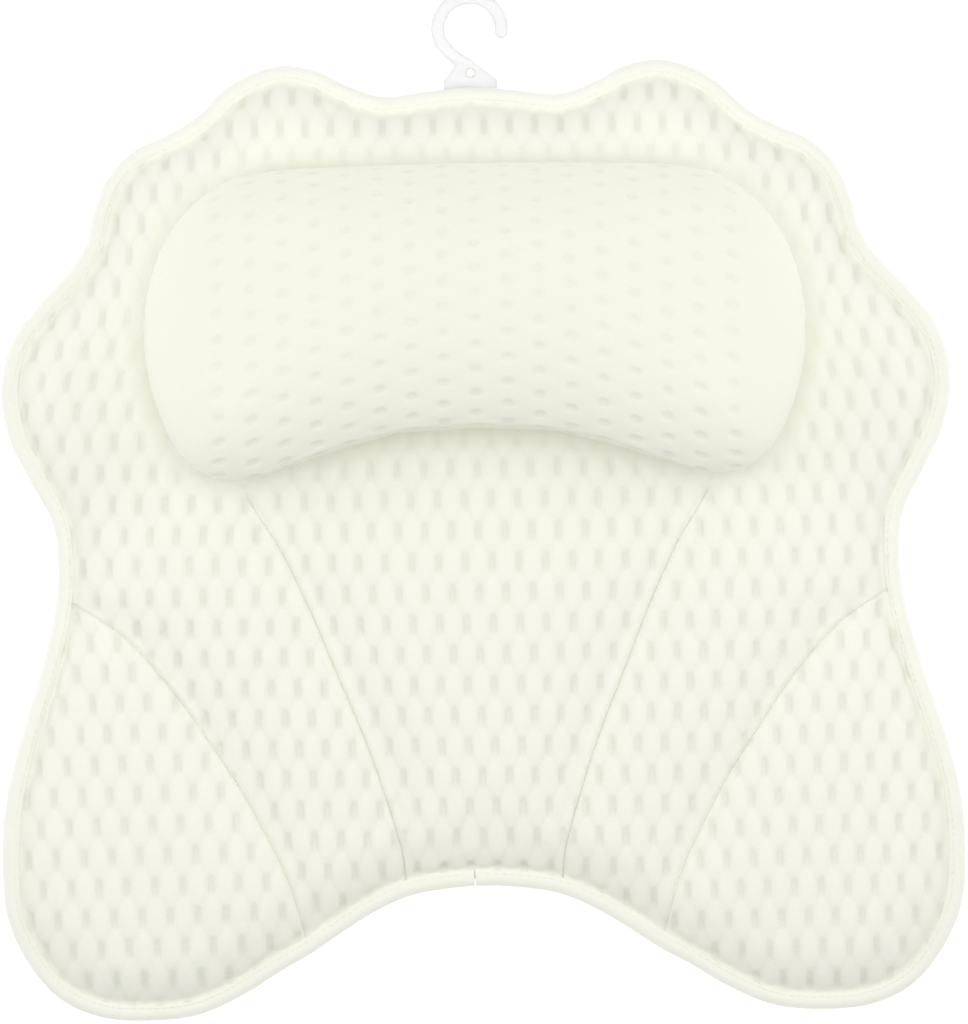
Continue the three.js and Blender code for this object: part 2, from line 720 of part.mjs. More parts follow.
function hookBarGeometry() {
  const bend = new THREE.EllipseCurve(0, hookArcY, hookMiddleRadius, hookMiddleRadius,
    THREE.MathUtils.degToRad(hookTipDegrees), THREE.MathUtils.degToRad(hookBendDegrees), false);
  const bendEnd = bend.getPoint(1);
  const shank = new THREE.QuadraticBezierCurve(bendEnd,
    new THREE.Vector2(bendEnd.x * hookShankInShare, mix(topEdgeY, bendEnd.y, hookShankDownShare)),
    new THREE.Vector2(0, topEdgeY + hookFootPeak * hookShankFootShare));
  const line = [...bend.getPoints(hookBendSteps), ...shank.getPoints(hookShankSteps).slice(1)];
  const stations = line.map((point, i) => {
    const before = line[Math.max(0, i - 1)];
    const after = line[Math.min(line.length - 1, i + 1)];
    const tangent = place(after.x - before.x, after.y - before.y).normalize();
    return { point, across: place(tangent.y, -tangent.x) };
  });
  const [side, top] = [hookBarWidth / 2, hookBarThickness / 2];
  const section = [
    [-side, -top + hookBarEdge], [-side + hookBarEdge, -top], [side - hookBarEdge, -top],
    [side, -top + hookBarEdge], [side, top - hookBarEdge], [side - hookBarEdge, top],
    [-side + hookBarEdge, top], [-side, top - hookBarEdge],
  ].map(([step, level]) => [step, hookLevel + level]);
  return sweep(stations, section);
}

addPiece("hanging_hook", geometryOf(solidOf(hookFootGeometry()).add(solidOf(hookBarGeometry()))),
  clearPlastic);

function loopGeometry() {
  const sewnEnd = hookPivotY - loopTaperLength - loopSewnLength;
  const sewnStart = hookPivotY - loopTaperLength;
  const sewnLevel = hookLevel + loopOutside - 2 * loopThickness;
  const loop = new THREE.Shape();
  loop.moveTo(sewnEnd, hookLevel + loopOutside);
  loop.lineTo(sewnEnd, sewnLevel);
  loop.lineTo(sewnStart, sewnLevel);
  loop.lineTo(hookPivotY, hookLevel - loopOutside);
  loop.absarc(hookPivotY, hookLevel, loopOutside, -Math.PI / 2, Math.PI / 2, false);
  loop.closePath();
  const inside = new THREE.Path();
  inside.moveTo(sewnStart, hookLevel + loopInside);
  inside.lineTo(hookPivotY, hookLevel + loopInside);
  inside.absarc(hookPivotY, hookLevel, loopInside, Math.PI / 2, -Math.PI / 2, true);
  inside.closePath();
  loop.holes.push(inside);
  const band = new THREE.ExtrudeGeometry(loop, {
    depth: loopWidth, bevelEnabled: false, curveSegments: loopBendSteps,
  });
  band.rotateX(Math.PI / 2);
  band.rotateZ(Math.PI / 2);
  band.translate(-loopWidth / 2, 0, 0);
  return band;
}

addPiece("hanging_loop", loopGeometry(), webbing);

// The middle of everything, hook and pad, comes over the origin.
pillow.position.y = -(hookTopY - halfLength) / 2;

const part = new THREE.Group();
part.add(pillow);
part.updateMatrixWorld(true);

export default part;
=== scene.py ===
"""Bath pillow: air mesh pad with a raised head bolster, bound edge, hanging hook and cups.

Laid out as an add-on and run as a script. Metres; +Z out of the front, +Y to the hook.
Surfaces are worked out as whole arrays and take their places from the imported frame.
"""

import json
import math

import bmesh
import bpy
import numpy as np
from bpy.props import FloatProperty, FloatVectorProperty, PointerProperty
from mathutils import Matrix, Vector


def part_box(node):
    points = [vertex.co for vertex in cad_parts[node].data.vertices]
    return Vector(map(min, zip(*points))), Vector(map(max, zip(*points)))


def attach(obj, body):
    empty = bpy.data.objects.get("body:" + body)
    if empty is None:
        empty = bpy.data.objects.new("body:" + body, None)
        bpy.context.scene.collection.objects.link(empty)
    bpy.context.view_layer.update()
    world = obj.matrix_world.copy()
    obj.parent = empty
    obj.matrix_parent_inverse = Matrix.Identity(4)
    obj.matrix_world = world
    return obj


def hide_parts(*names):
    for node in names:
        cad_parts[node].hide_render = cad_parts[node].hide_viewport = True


bl_info = {
    "name": "Bath pillow",
    "version": (1, 0, 0),
    "blender": (4, 5, 0),
    "location": "3D View > Sidebar > Pillow",
    "description": "Builds a bath pillow of air mesh piece by piece",
    "category": "Add Mesh",
}

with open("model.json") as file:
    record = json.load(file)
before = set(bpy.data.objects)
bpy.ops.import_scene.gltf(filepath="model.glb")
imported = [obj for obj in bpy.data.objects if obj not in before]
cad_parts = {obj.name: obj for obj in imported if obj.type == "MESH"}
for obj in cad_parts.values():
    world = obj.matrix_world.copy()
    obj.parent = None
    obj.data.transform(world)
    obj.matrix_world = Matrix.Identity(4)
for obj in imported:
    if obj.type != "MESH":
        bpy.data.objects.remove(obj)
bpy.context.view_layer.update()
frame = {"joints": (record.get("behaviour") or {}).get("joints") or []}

MM = 0.001
PRESSURE = 4.0
LAST_FRAME = 20
PAD_SWELL = 3.2 * MM
BOLSTER_SWELL = 2.4 * MM
# Backs and simulated forms keep one row and column of each this many
STRIDE = 4

# Places that follow from the frame
BINDING, BACK, BOLSTER = (np.array(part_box(name))
                          for name in ("edge_binding", "back_cover", "bolster_cover"))
HALF, MIDDLE = (BINDING[1] - BINDING[0])[:2] / 2, BINDING.mean(0)[:2]
BOLSTER_HALF, BOLSTER_MIDDLE = (BOLSTER[1] - BOLSTER[0])[:2] / 2, BOLSTER.mean(0)[:2]
BINDING_LEVEL, BINDING_HALF = BINDING.mean(0)[2], (BINDING[1] - BINDING[0])[2] / 2
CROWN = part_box("front_panel")[1][2]
EDGE_TOP = BINDING[1, 2] - 1.5 * MM
CUPS = {i: np.mean(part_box(f"cup_strap_{i}"), axis=0) for i in range(1, 7)}
HOOK_PIVOT = np.array(frame["joints"][0]["pos_m"])

# Half of the pad's outline, from the top centre round to the bottom centre, as shares of half
# its width and half its length
OUTLINE = [
    (0, 0.948), (0.087, 0.941), (0.183, 0.931), (0.258, 0.956), (0.314, 0.985), (0.383, 1),
    (0.45, 0.985), (0.512, 0.95), (0.567, 0.897), (0.633, 0.857), (0.7, 0.827), (0.754, 0.773),
    (0.785, 0.701), (0.802, 0.634), (0.837, 0.579), (0.906, 0.503), (0.96, 0.429),
    (0.985, 0.33), (0.971, 0.229), (0.927, 0.134), (0.883, 0.046), (0.874, -0.028),
    (0.877, -0.108), (0.898, -0.213), (0.929, -0.319), (0.965, -0.434), (0.991, -0.546),
    (1, -0.656), (0.99, -0.782), (0.948, -0.877), (0.885, -0.951), (0.8, -0.991), (0.698, -1),
    (0.596, -0.989), (0.5, -0.947), (0.427, -0.902), (0.36, -0.864), (0.3, -0.824),
    (0.229, -0.78), (0.156, -0.748), (0.079, -0.734), (0, -0.729),
]
PEAK, LOBE, NOTCH, ARCH, DART, LAST = 5, 11, 22, 36, 39, len(OUTLINE) - 1

# Seams of the right half, in the same shares
DART_GUIDE = [(0.44, 0.78), (0.48, 0.55), (0.49, 0.31)]
DART_LINE = [
    (0.481, 0.112), (0.41, -0.017), (0.354, -0.138), (0.297, -0.28), (0.241, -0.42),
    (0.198, -0.55), (0.168, -0.66),
]
CORNER_LINE = [
    (0.74, -0.193), (0.646, -0.299), (0.566, -0.415), (0.5, -0.52), (0.447, -0.621),
    (0.408, -0.706),
]
DART_NOTCH = 1 + len(DART_GUIDE) + 2
NOTCH_ROW = -0.13

# Half of the bolster's outline from its top centre round, as shares of half its width and depth
BOLSTER_OUTLINE = [
    (0, 1), (0.36, 1), (0.61, 0.985), (0.74, 0.93), (0.84, 0.79), (0.92, 0.59), (0.975, 0.32),
    (1, 0), (0.99, -0.3), (0.955, -0.58), (0.885, -0.86), (0.8, -0.98), (0.71, -1),
    (0.57, -0.9), (0.415, -0.79), (0.23, -0.7), (0, -0.67),
]


def linear(hex_colour):
    """A colour written in sRGB hex, as linear light: (c + 0.055) / 1.055 to the power 2.4,
    and c / 12.92 in the darkest part."""
    parts = [int(hex_colour[i:i + 2], 16) / 255 for i in (1, 3, 5)]
    return [c / 12.92 if c <= 0.04045 else ((c + 0.055) / 1.055) ** 2.4 for c in parts]


def length_setting(name, description, default):
    return FloatProperty(name=name, description=description, default=default, unit="LENGTH",
                         precision=5)


def colour_setting(name, description, hex_colour):
    return FloatVectorProperty(name=name, description=description, size=3, subtype="COLOR",
                               min=0, max=1, default=linear(hex_colour))


class PillowSizes(bpy.types.PropertyGroup):
    """Sizes of the cloth, its seams and its trim."""

    mesh_pitch: length_setting("Slit pitch", "Distance between slits of a row", 11.1 * MM)
    mesh_row: length_setting("Row pitch", "Distance between rows of slits", 12.7 * MM)
    slit_width: length_setting("Slit width", "Width of one slit of the air mesh", 3.0 * MM)
    slit_length: length_setting("Slit length", "Length of one slit of the air mesh", 7.8 * MM)
    slit_depth: length_setting("Slit depth", "How deep a slit reaches", 0.7 * MM)
    rib_height: length_setting("Rib height", "Rise of the ovals between slits", 0.75 * MM)
    edge_roll: length_setting("Edge roll", "How far in the edge's roll reaches", 9 * MM)
    seam_dip: length_setting("Seam dip", "How far the corner seams draw the pad down", 3.2 * MM)
    dart_dip: length_setting("Dart dip", "How far the darts draw the pad down", 2.4 * MM)
    seam_reach: length_setting("Seam reach", "How wide a seam's hollow is", 9 * MM)
    crease_depth: length_setting("Crease depth", "Depth of the sharp line of a seam", 1.1 * MM)
    crease_width: length_setting("Crease width", "Half width of that line", 0.9 * MM)
    binding_width: length_setting("Binding width", "Width of the edge tape's face", 6.6 * MM)
    stitch_length: length_setting("Stitch length", "Length of one stitch", 3.2 * MM)
    thread: length_setting("Thread", "Thickness of the sewing thread", 0.4 * MM)


class PillowColours(bpy.types.PropertyGroup):
    """Colours of the cloth, the trim and the plastic."""

    mesh: colour_setting("Air mesh", "Face of the air mesh", "#F4F4E9")
    # The stretched mesh is the pad's cloth, a little darker here as painted shade over the
    # bolster.
    stretched: colour_setting("Stretched mesh", "The same cloth drawn over the bolster",
                              "#F1F1E3")
    # The slit colour is painted shade inside the slits and in the hollows between the ovals; it
    # is also the darker end of the air mesh's random tone and the dark of the filling's tangle.
    slit: colour_setting("Slit", "Inside of the air mesh's slits", "#E8E9DC")
    tape: colour_setting("Binding tape", "Edge binding", "#F4F4EA")
    webbing: colour_setting("Webbing", "Straps and hanging loop", "#F1F1E8")
    back: colour_setting("Back cloth", "Cloth of the back and the lining", "#F0F0E6")
    hook: colour_setting("Hook", "Clear plastic of the hook", "#F4F4F5")
    vinyl: colour_setting("Cups", "Soft vinyl of the suction cups", "#F4F7F7")


def sizes():
    return bpy.context.scene.pillow_sizes


def colours():
    return bpy.context.scene.pillow_colours


# Curves and grids


def unit(way):
    """Directions brought to the length 1."""
    return way / np.maximum(np.linalg.norm(way, axis=-1, keepdims=True), 1e-12)


def along(points, numbers, closed=False):
    """Places and directions on a smooth curve through the points, at numbers that count the
    points. Centripetal Catmull-Rom: the slope at a point weighs its two neighbours by the
    square roots of their distances, and a cubic joins one point to the next."""
    points = np.asarray(points, float)
    if closed:
        before, start = np.roll(points, 1, 0), points
        end, after = np.roll(points, -1, 0), np.roll(points, -2, 0)
    else:
        more = np.vstack([2 * points[0] - points[1], points, 2 * points[-1] - points[-2]])
        before, start, end, after = more[:-3], more[1:-2], more[2:-1], more[3:]
    d0, d1, d2 = (np.linalg.norm(b - a, axis=1, keepdims=True) ** 0.5
                  for a, b in ((before, start), (start, end), (end, after)))
    out = (start - before) / d0 - (end - before) / (d0 + d1) + (end - start) / d1
    into = (end - start) / d1 - (after - start) / (d1 + d2) + (after - end) / d2
    out, into = out * d1, into * d1
    numbers = np.asarray(numbers, float)
    if closed:
        numbers = np.mod(numbers, len(start))
    part = np.clip(np.floor(numbers).astype(int), 0, len(start) - 1)
    t = (numbers - part)[..., None]
    a, b, m, n = start[part], end[part], out[part], into[part]
    place = a + m * t + (3 * (b - a) - 2 * m - n) * t ** 2 + (2 * (a - b) + m + n) * t ** 3
    slope = m + 2 * (3 * (b - a) - 2 * m - n) * t + 3 * (2 * (a - b) + m + n) * t ** 2
    return place, unit(slope)


def running(places):
    """The length along a row of places, from 0."""
    return np.concatenate([[0], np.cumsum(np.linalg.norm(np.diff(places, axis=0), axis=1))])


def evenly(points, count, closed=False):
    """Numbers on the curve that are evenly spaced along it: the running length is turned
    round to give the number for each length."""
    last = len(points) - (0 if closed else 1)
    fine = np.linspace(0, last, last * 24 + 1)
    run = running(along(points, fine, closed)[0])
    return np.interp(np.linspace(0, run[-1], count, endpoint=not closed), run, fine)


def whole(half_points, half_size, middle):
    """Half an outline in shares and its mirror image, as one closed clockwise outline."""
    half = np.asarray(half_points, float)
    full = np.vstack([half, half[-2:0:-1] * (-1, 1)])
    return middle + full * half_size


EDGE = whole(OUTLINE, HALF, MIDDLE)
BOLSTER_EDGE = whole(BOLSTER_OUTLINE, BOLSTER_HALF, BOLSTER_MIDDLE)


def square_to(way):
    """Directions to the right of others: x and y swapped, and the new y turned round."""
    return np.stack([way[..., 1], -way[..., 0]], -1)


def inwards(points, numbers, inset):
    """Places on a closed clockwise outline, moved in square to it."""
    place, way = along(points, numbers, closed=True)
    return place + square_to(way) * np.asarray(inset)[..., None]


def shared(table):
    """Places given in shares of half the pad's width and half its length."""
    return MIDDLE + np.asarray(table, float) * HALF


def angles(count):
    """Even angles, once round."""
    return np.linspace(0, 2 * math.pi, count, endpoint=False)


def circle(turn):
    """Places on a circle of radius 1: the cosine and the sine of each angle."""
    return np.stack([np.cos(turn), np.sin(turn)], -1)


def with_level(flat, level):
    """Flat places at a level, or each at its own."""
    return np.concatenate([flat, np.broadcast_to(level, flat.shape[:-1])[..., None]], -1)


def distance_to(line, points):
    """Least distance from each point to a line of short straight steps."""
    flat = points.reshape(-1, 2)
    least = np.full(len(flat), np.inf)
    for start, step in zip(line[:-1], np.diff(line, axis=0)):
        offset = flat - start
        share = np.clip(offset @ step / (step @ step), 0, 1)
        rest = offset - share[:, None] * step
        np.minimum(least, (rest * rest).sum(1), out=least)
    return np.sqrt(least).reshape(points.shape[:-1])


def smooth(low, high, value):
    """Smooth step: 0 below low, 1 above high, and 3t^2 - 2t^3 between."""
    t = np.clip((value - low) / (high - low), 0, 1)
    return t * t * (3 - 2 * t)


def bell(distance, reach):
    """A bell of height 1: e to the minus square of distance over reach."""
    return np.exp(-(distance / reach) ** 2)


def normals_of(grid):
    """Unit normals of a grid of points: its row step crossed with its column step."""
    return unit(np.cross(np.gradient(grid, axis=0), np.gradient(grid, axis=1)))


def quads(rows, columns, start=0, around=False):
    """Corners of a grid's four-sided faces; around joins the last column to the first."""
    row, column = np.meshgrid(np.arange(rows - 1), np.arange(columns - (0 if around else 1)),
                              indexing="ij")
    right = (column + 1) % columns
    a, b = row * columns + column, row * columns + right
    return start + np.stack([a, a + columns, b + columns, b], -1).reshape(-1, 4)


def tube(count, sides):
    """Faces of a closed section with so many sides, carried to so many places, and of its
    two flat ends, each a row of four-sided faces across the section."""
    low = np.arange(sides // 2 - 1)
    cap = np.stack([low, low + 1, sides - 2 - low, sides - 1 - low], -1)
    return [quads(count, sides, around=True), cap, (count - 1) * sides + cap[:, ::-1]]


def merge(mesh):
    """Joins the places of a mesh that meet at its poles and seams."""
    work = bmesh.new()
    work.from_mesh(mesh)
    bmesh.ops.remove_doubles(work, verts=work.verts, dist=1e-6)
    work.to_mesh(mesh)
    work.free()


def add_piece(name, mesh, kind, node=None, body="pad", slot=None, closes=False, soft=None):
    """A smooth shaded object of one kind of finish, which rides on a body and replaces a
    node of the solids. Where it closes, its poles and seams are joined; edges steeper than
    soft degrees stay sharp."""
    mesh.materials.clear()
    mesh.materials.append(finish_of(kind))
    mesh.polygons.foreach_set("use_smooth", np.ones(len(mesh.polygons), bool))
    piece = bpy.data.objects.new(name, mesh)
    bpy.context.scene.collection.objects.link(piece)
    if closes:
        merge(mesh)
    if soft:
        mesh.set_sharp_from_angle(angle=math.radians(soft))
    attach(piece, body)
    if node:
        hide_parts(node)
    return piece


def make_piece(name, points, faces, kind, node=None, uv=None, open_slits=None, **more):
    """A piece from an array of places and arrays of faces. uv holds one pair for each place,
    or for each corner of the first faces in order, and the other faces then lie between two
    slits. The slit values say for the first places how strong their cloth's painted slit and
    groove shade is, and there is none anywhere else."""
    points = points.reshape(-1, 3)
    counts = np.concatenate([np.full(len(part), part.shape[1]) for part in faces])
    corners = np.concatenate([part.reshape(-1) for part in faces])
    mesh = bpy.data.meshes.new(name)
    mesh.vertices.add(len(points))
    mesh.vertices.foreach_set("co", points.astype(np.float32).reshape(-1))
    mesh.loops.add(len(corners))
    mesh.loops.foreach_set("vertex_index", corners.astype(np.int32))
    mesh.polygons.add(len(counts))
    mesh.polygons.foreach_set("loop_start", (np.cumsum(counts) - counts).astype(np.int32))
    mesh.update(calc_edges=True)
    mesh.validate()
    uv = uv.reshape(-1, 2)
    uv = uv[corners] if len(uv) == len(points) else uv
    others = np.full((len(corners) - len(uv), 2), (0.5 * sizes().mesh_pitch, 0))
    layer = mesh.uv_layers.new(name="cloth")
    layer.data.foreach_set("uv", np.concatenate([uv, others]).astype(np.float32).reshape(-1))
    if open_slits is not None:
        slit_shade_share = np.zeros(len(points), np.float32)
        slit_shade_share[:open_slits.size] = open_slits.reshape(-1)
        mesh.attributes.new("open_slits", "FLOAT", "POINT").data.foreach_set("value", slit_shade_share)
    return add_piece(name, mesh, kind, node, **more)


def rim_of(rows, columns):
    """Numbers of a grid's outer points, once round against the clock and back to the first."""
    at = np.arange(rows * columns).reshape(rows, columns)
    return np.concatenate([at[:-1, 0], at[-1, :-1], at[:0:-1, -1], at[0, ::-1]])


def strip(fine, coarse, stride):
    """Triangles between a row of points and a coarser row, in which every stride-th one has
    its fellow."""
    return np.concatenate([np.stack([fine[1:], fine[:-1], np.repeat(coarse[:-1], stride)], -1),
                           np.stack([fine[stride::stride], coarse[:-1], coarse[1:]], -1)])


def backed(top, under, stride):
    """A closed shell: a fine upper grid, a lower grid of every stride-th row and column, and a
    strip between their rims. Rows and columns less one are multiples of stride. Gives the
    points and the three arrays of faces."""
    low = under[::stride, ::stride]
    start = top.shape[0] * top.shape[1]
    return (np.concatenate([top.reshape(-1, 3), low.reshape(-1, 3)]),
            [quads(*top.shape[:2]), quads(*low.shape[:2], start)[:, ::-1],
             strip(rim_of(*top.shape[:2]), rim_of(*low.shape[:2]) + start, stride)])


def corner_values(grid):
    """A grid's values at the four corners of each of its faces."""
    return grid.reshape(-1, grid.shape[-1])[quads(*grid.shape[:2])]


def foot_of(columns, rows):
    """Faces across an open grid's foot, from its first column of points to its last."""
    at = np.arange(columns * rows).reshape(columns, rows)
    return np.stack([at[:-1, 0], at[:-1, -1], at[1:, -1], at[1:, 0]], -1)


# Cloth simulation of the padded forms


def swell(points, faces, held, reach):
    """Cloth simulation of a closed coarse body that air presses from inside, without gravity.
    Held points stay; the others move, and no move is longer than reach. Gives the moves."""
    _, first, number = np.unique(np.round(points / 1e-6).astype(np.int64), axis=0,
                                 return_index=True, return_inverse=True)
    number = number.reshape(-1)
    mesh = bpy.data.meshes.new("swelling")
    mesh.from_pydata(points[first], [], number[faces])
    mesh.validate()
    body = bpy.data.objects.new("swelling", mesh)
    scene = bpy.context.scene
    scene.collection.objects.link(body)
    group = body.vertex_groups.new(name="held")
    group.add(np.unique(number[held]).tolist(), 1.0, "REPLACE")
    cloth = body.modifiers.new("cloth", "CLOTH")
    settings = cloth.settings
    settings.quality = 5
    settings.mass = 0.3
    settings.tension_stiffness = settings.compression_stiffness = 12
    settings.bending_stiffness = 0.4
    settings.use_pressure = True
    settings.uniform_pressure_force = PRESSURE
    settings.effector_weights.gravity = 0
    settings.vertex_group_mass = "held"
    cloth.collision_settings.use_collision = False
    cloth.point_cache.frame_start, cloth.point_cache.frame_end = 1, LAST_FRAME
    for moment in range(1, LAST_FRAME + 1):
        scene.frame_set(moment)
    seen = body.evaluated_get(bpy.context.evaluated_depsgraph_get())
    moved = np.empty(len(first) * 3, np.float32)
    seen.data.vertices.foreach_get("co", moved)
    move = moved.reshape(-1, 3).astype(float) - points[first]
    bpy.data.objects.remove(body)
    bpy.data.meshes.remove(mesh)
    scene.frame_set(1)
    length = np.linalg.norm(move, axis=1, keepdims=True)
    move *= np.tanh(length / reach) * reach / np.maximum(length, 1e-9)
    return move[number]


def finer(coarse, rows, columns):
    """A coarse grid's values on the fine grid: straight between points along both ways, and
    then three rounds of the mean of each value and its neighbours, twice the middle."""
    down, across = np.arange(rows) / STRIDE, np.arange(columns) / STRIDE
    r, c = (np.minimum(np.floor(v).astype(int), n - 2)
            for v, n in zip((down, across), coarse.shape[:2]))
    u, v = (down - r)[:, None, None], (across - c)[None, :, None]
    near = coarse[r] * (1 - u) + coarse[r + 1] * u
    fine = near[:, c] * (1 - v) + near[:, c + 1] * v
    for _ in range(3):
        edge = np.pad(fine, ((1, 1), (1, 1), (0, 0)), mode="edge")
        fine = (edge[:-2, 1:-1] + edge[2:, 1:-1] + 2 * fine) / 4
        edge = np.pad(fine, ((1, 1), (1, 1), (0, 0)), mode="edge")
        fine = (edge[1:-1, :-2] + edge[1:-1, 2:] + 2 * fine) / 4
    return fine


def inside_of(outline, flat):
    """Whether each flat place is inside a closed outline: it is where a line from it to the
    right crosses the outline an odd number of times."""
    x, y = flat[..., 0], flat[..., 1]
    odd = np.zeros(x.shape, bool)
    for (ax, ay), (bx, by) in zip(outline, np.roll(outline, -1, 0)):
        if ay != by:
            odd ^= ((ay > y) != (by > y)) & (x < (bx - ax) * (y - ay) / (by - ay) + ax)
    return odd


# Air mesh cloth


def slit_share(cloth, width, length, power):
    """How far a place on the cloth is from the nearest slit, 0 in its middle and 1 on its rim:
    (x^p + y^p) to the power 1/p, an oval for p = 2 and a rounded oblong for p = 4. The slits
    are in two lattices, the second half a pitch across and a row along."""
    s = sizes()
    step = np.array([s.mesh_pitch, 2 * s.mesh_row])
    least = np.inf
    for shift in (0, 0.5):
        off = (np.mod(cloth / step - shift + 0.5, 1) - 0.5) * step * (2 / width, 2 / length)
        least = np.minimum(least, (off ** power).sum(-1) ** (1 / power))
    return least


def mesh_relief(cloth, width, length, power, depth, rib):
    """Height of the cloth's face: each slit sinks by a smooth step, and between four slits
    an oval rises by another of its distance, so that broad hollows join the slits."""
    s = sizes()
    step = np.array([s.mesh_pitch, 2 * s.mesh_row])
    least = np.inf
    for shift in ((0.5, 0), (0, 0.5)):
        off = np.mod(cloth / step - shift + 0.5, 1) - 0.5
        least = np.minimum(least, np.hypot(off[..., 0], off[..., 1]) * 2)
    ovals = rib * (1 - smooth(0.1, 0.95, least))
    sunk = 1 - smooth(0.45, 1.4, slit_share(cloth, width, length, power))
    return ovals - depth * sunk


# The pad's front


PATTERN_START = -22.8 * MM
OUTER_SHIFT = 3.5 * MM
SHIFT_FROM, SHIFT_TO = 48 * MM, -14 * MM
COLLAR_FROM, COLLAR_TO = 40 * MM, 110 * MM
COLLAR_SHARE = 0.05
UPPER_SHARE = 0.98
# Each corner panel's cloth: the place of one slit in mm, the pitch's scale, degrees turned
CORNER_CLOTH = {"right_corner_panel": ((145.1, -159.2), 1, 0.8),
                "left_corner_panel": ((-143, -103.9), 0.955, 1.2)}
FLANGE = 3.2 * MM
ROLL_START = 7.6 * MM
ROLL_POWER = 1.5
WAVE_PACE, WAVE_HEIGHT = 40, 0.35 * MM
PANEL_THICKNESS = 2.6 * MM
FOLD_DEPTH = 0.8 * MM
FOLD_HALF_WIDTH = 0.45 * MM
FOLD_FADE = 0.02
# Where the columns next to a dart start, as a share of the patch, before they are moved to it
NEXT_SHARE = 0.01
SEAM_ALLOWANCE = 2.4 * MM


def corner_seam(inset):
    """The right corner seam from the notch to the arch, its ends in from the edge."""
    ends = inwards(EDGE, [NOTCH, ARCH], inset)
    return np.vstack([ends[:1], shared(CORNER_LINE), ends[1:]])


def front_lines():
    """The edge, the right dart and the right corner seam as fine lines."""
    dart = np.vstack([shared(DART_LINE), inwards(EDGE, [DART, DART], [ROLL_START, 0])])
    corner = corner_seam(0)
    return (along(EDGE, np.linspace(0, len(EDGE), 600), closed=True)[0],
            along(dart, np.linspace(0, len(dart) - 1, 60))[0],
            along(corner, np.linspace(0, len(corner) - 1, 70))[0])


def front_height(flat, lines, deep=True):
    """Height of the pad's front over a flat place. From the edge it rises as one less e to
    the minus 1.5th power of the distance; each seam draws it down by a wide bell and, where
    deep, by a narrow one that is the sharp line; slow waves keep it from lying dead flat."""
    s = sizes()
    edge, dart, corner = lines
    folded = np.stack([np.abs(flat[..., 0] - MIDDLE[0]) + MIDDLE[0], flat[..., 1]], -1)
    inside = np.maximum(0, distance_to(edge, flat) - ROLL_START)
    rolled = 1 - np.exp(-(inside / s.edge_roll) ** ROLL_POWER)
    at_corner, at_dart = distance_to(corner, folded), distance_to(dart, folded)
    dips = s.seam_dip * bell(at_corner, s.seam_reach) + s.dart_dip * bell(at_dart, s.seam_reach)
    crease = (s.crease_depth * (bell(at_corner, s.crease_width) + bell(at_dart, s.crease_width))
              * (0.45 + 0.55 * rolled)) if deep else 0
    x, y = (flat - MIDDLE)[..., 0] * WAVE_PACE, (flat - MIDDLE)[..., 1] * WAVE_PACE
    waves = WAVE_HEIGHT * (np.sin(x * 1.3 + 0.6 * np.sin(y)) * np.sin(y * 1.1 + 0.4)
                           + 0.6 * np.sin(x * 2.3 - y * 1.7 + 1.2)) * rolled
    height = EDGE_TOP + (CROWN - EDGE_TOP - dips) * rolled + waves - crease
    return height, at_corner, at_dart


def block(left, right, top, bottom, shares):
    """A four-sided patch: straight rows from the left rail to the right one, bent near its
    top and bottom by how far those curves leave their straight lines, less with distance."""
    down = np.linspace(0, 1, len(left))[:, None, None]
    shares = shares[None, :, None]
    straight = left[:, None] + (right - left)[:, None] * shares
    bend_top = top - (top[0] + (top[-1] - top[0]) * shares[0])
    bend_bottom = bottom - (bottom[0] + (bottom[-1] - bottom[0]) * shares[0])
    return straight + bend_top[None] * (1 - down) + bend_bottom[None] * down


def front_grid(upper_rows, lower_rows, middle_count, wing_count):
    """Flat places of the front panel: half the middle and one wing as patches that share the
    dart, mirrored to the other half. Gives the grid and the columns where the darts run."""
    start = inwards(EDGE, [PEAK, DART], FLANGE)
    dart_points = np.vstack([start[:1], shared(DART_GUIDE), shared(DART_LINE), start[1:]])
    corner_points = corner_seam(FLANGE)
    top, bottom = inwards(EDGE, [0, LAST], FLANGE)
    waist = shared((0, NOTCH_ROW))
    upper = np.linspace(0, 1, upper_rows + 1)
    lower = np.linspace(0, 1, lower_rows + 1)[1:]
    last = len(dart_points) - 1
    centre = np.vstack([top + (waist - top) * upper[:, None],
                        waist + (bottom - waist) * lower[:, None]])
    dart, _ = along(dart_points, np.concatenate([
        upper * DART_NOTCH, DART_NOTCH + (last - DART_NOTCH) * lower]))
    side = np.vstack([inwards(EDGE, LOBE + (NOTCH - LOBE) * upper, FLANGE),
                      along(corner_points, evenly(corner_points, lower_rows + 1)[1:])[0]])
    s_middle = np.append(np.linspace(0, 1 - 2 * NEXT_SHARE, middle_count - 1),
                         [1 - NEXT_SHARE, 1])
    s_wing = np.append([0, NEXT_SHARE], np.linspace(2 * NEXT_SHARE, 1, wing_count - 1))

    def edge_run(first, final, shares):
        return inwards(EDGE, first + (final - first) * shares, FLANGE)

    middle = block(centre, dart, edge_run(0, PEAK, s_middle), edge_run(LAST, DART, s_middle),
                   s_middle)
    wing = block(dart, side, edge_run(PEAK, LOBE, s_wing), edge_run(DART, ARCH, s_wing), s_wing)
    # the columns next to the dart keep one distance from it, which is the fold's half width
    for patch, near, beyond in ((middle, -2, -3), (wing, 1, 2)):
        patch[:, near] = dart + unit(patch[:, beyond] - dart) * FOLD_HALF_WIDTH
    half = np.concatenate([middle, wing[:, 1:]], axis=1)
    other = half[:, :0:-1] * (-1, 1) + (2 * MIDDLE[0], 0)
    columns = middle_count + wing_count
    return (np.concatenate([other, half], axis=1),
            (columns - middle_count, columns + middle_count))


def corner_grid(rows, columns):
    """Flat places of the right corner panel: straight rows from the seam to the edge."""
    points = corner_seam(FLANGE)
    seam, _ = along(points, evenly(points, rows + 1))
    edge = inwards(EDGE, NOTCH + (ARCH - NOTCH) * np.linspace(0, 1, rows + 1), FLANGE)
    share = np.linspace(0, 1, columns + 1)[None, :, None]
    return seam[:, None] + (edge - seam)[:, None] * share


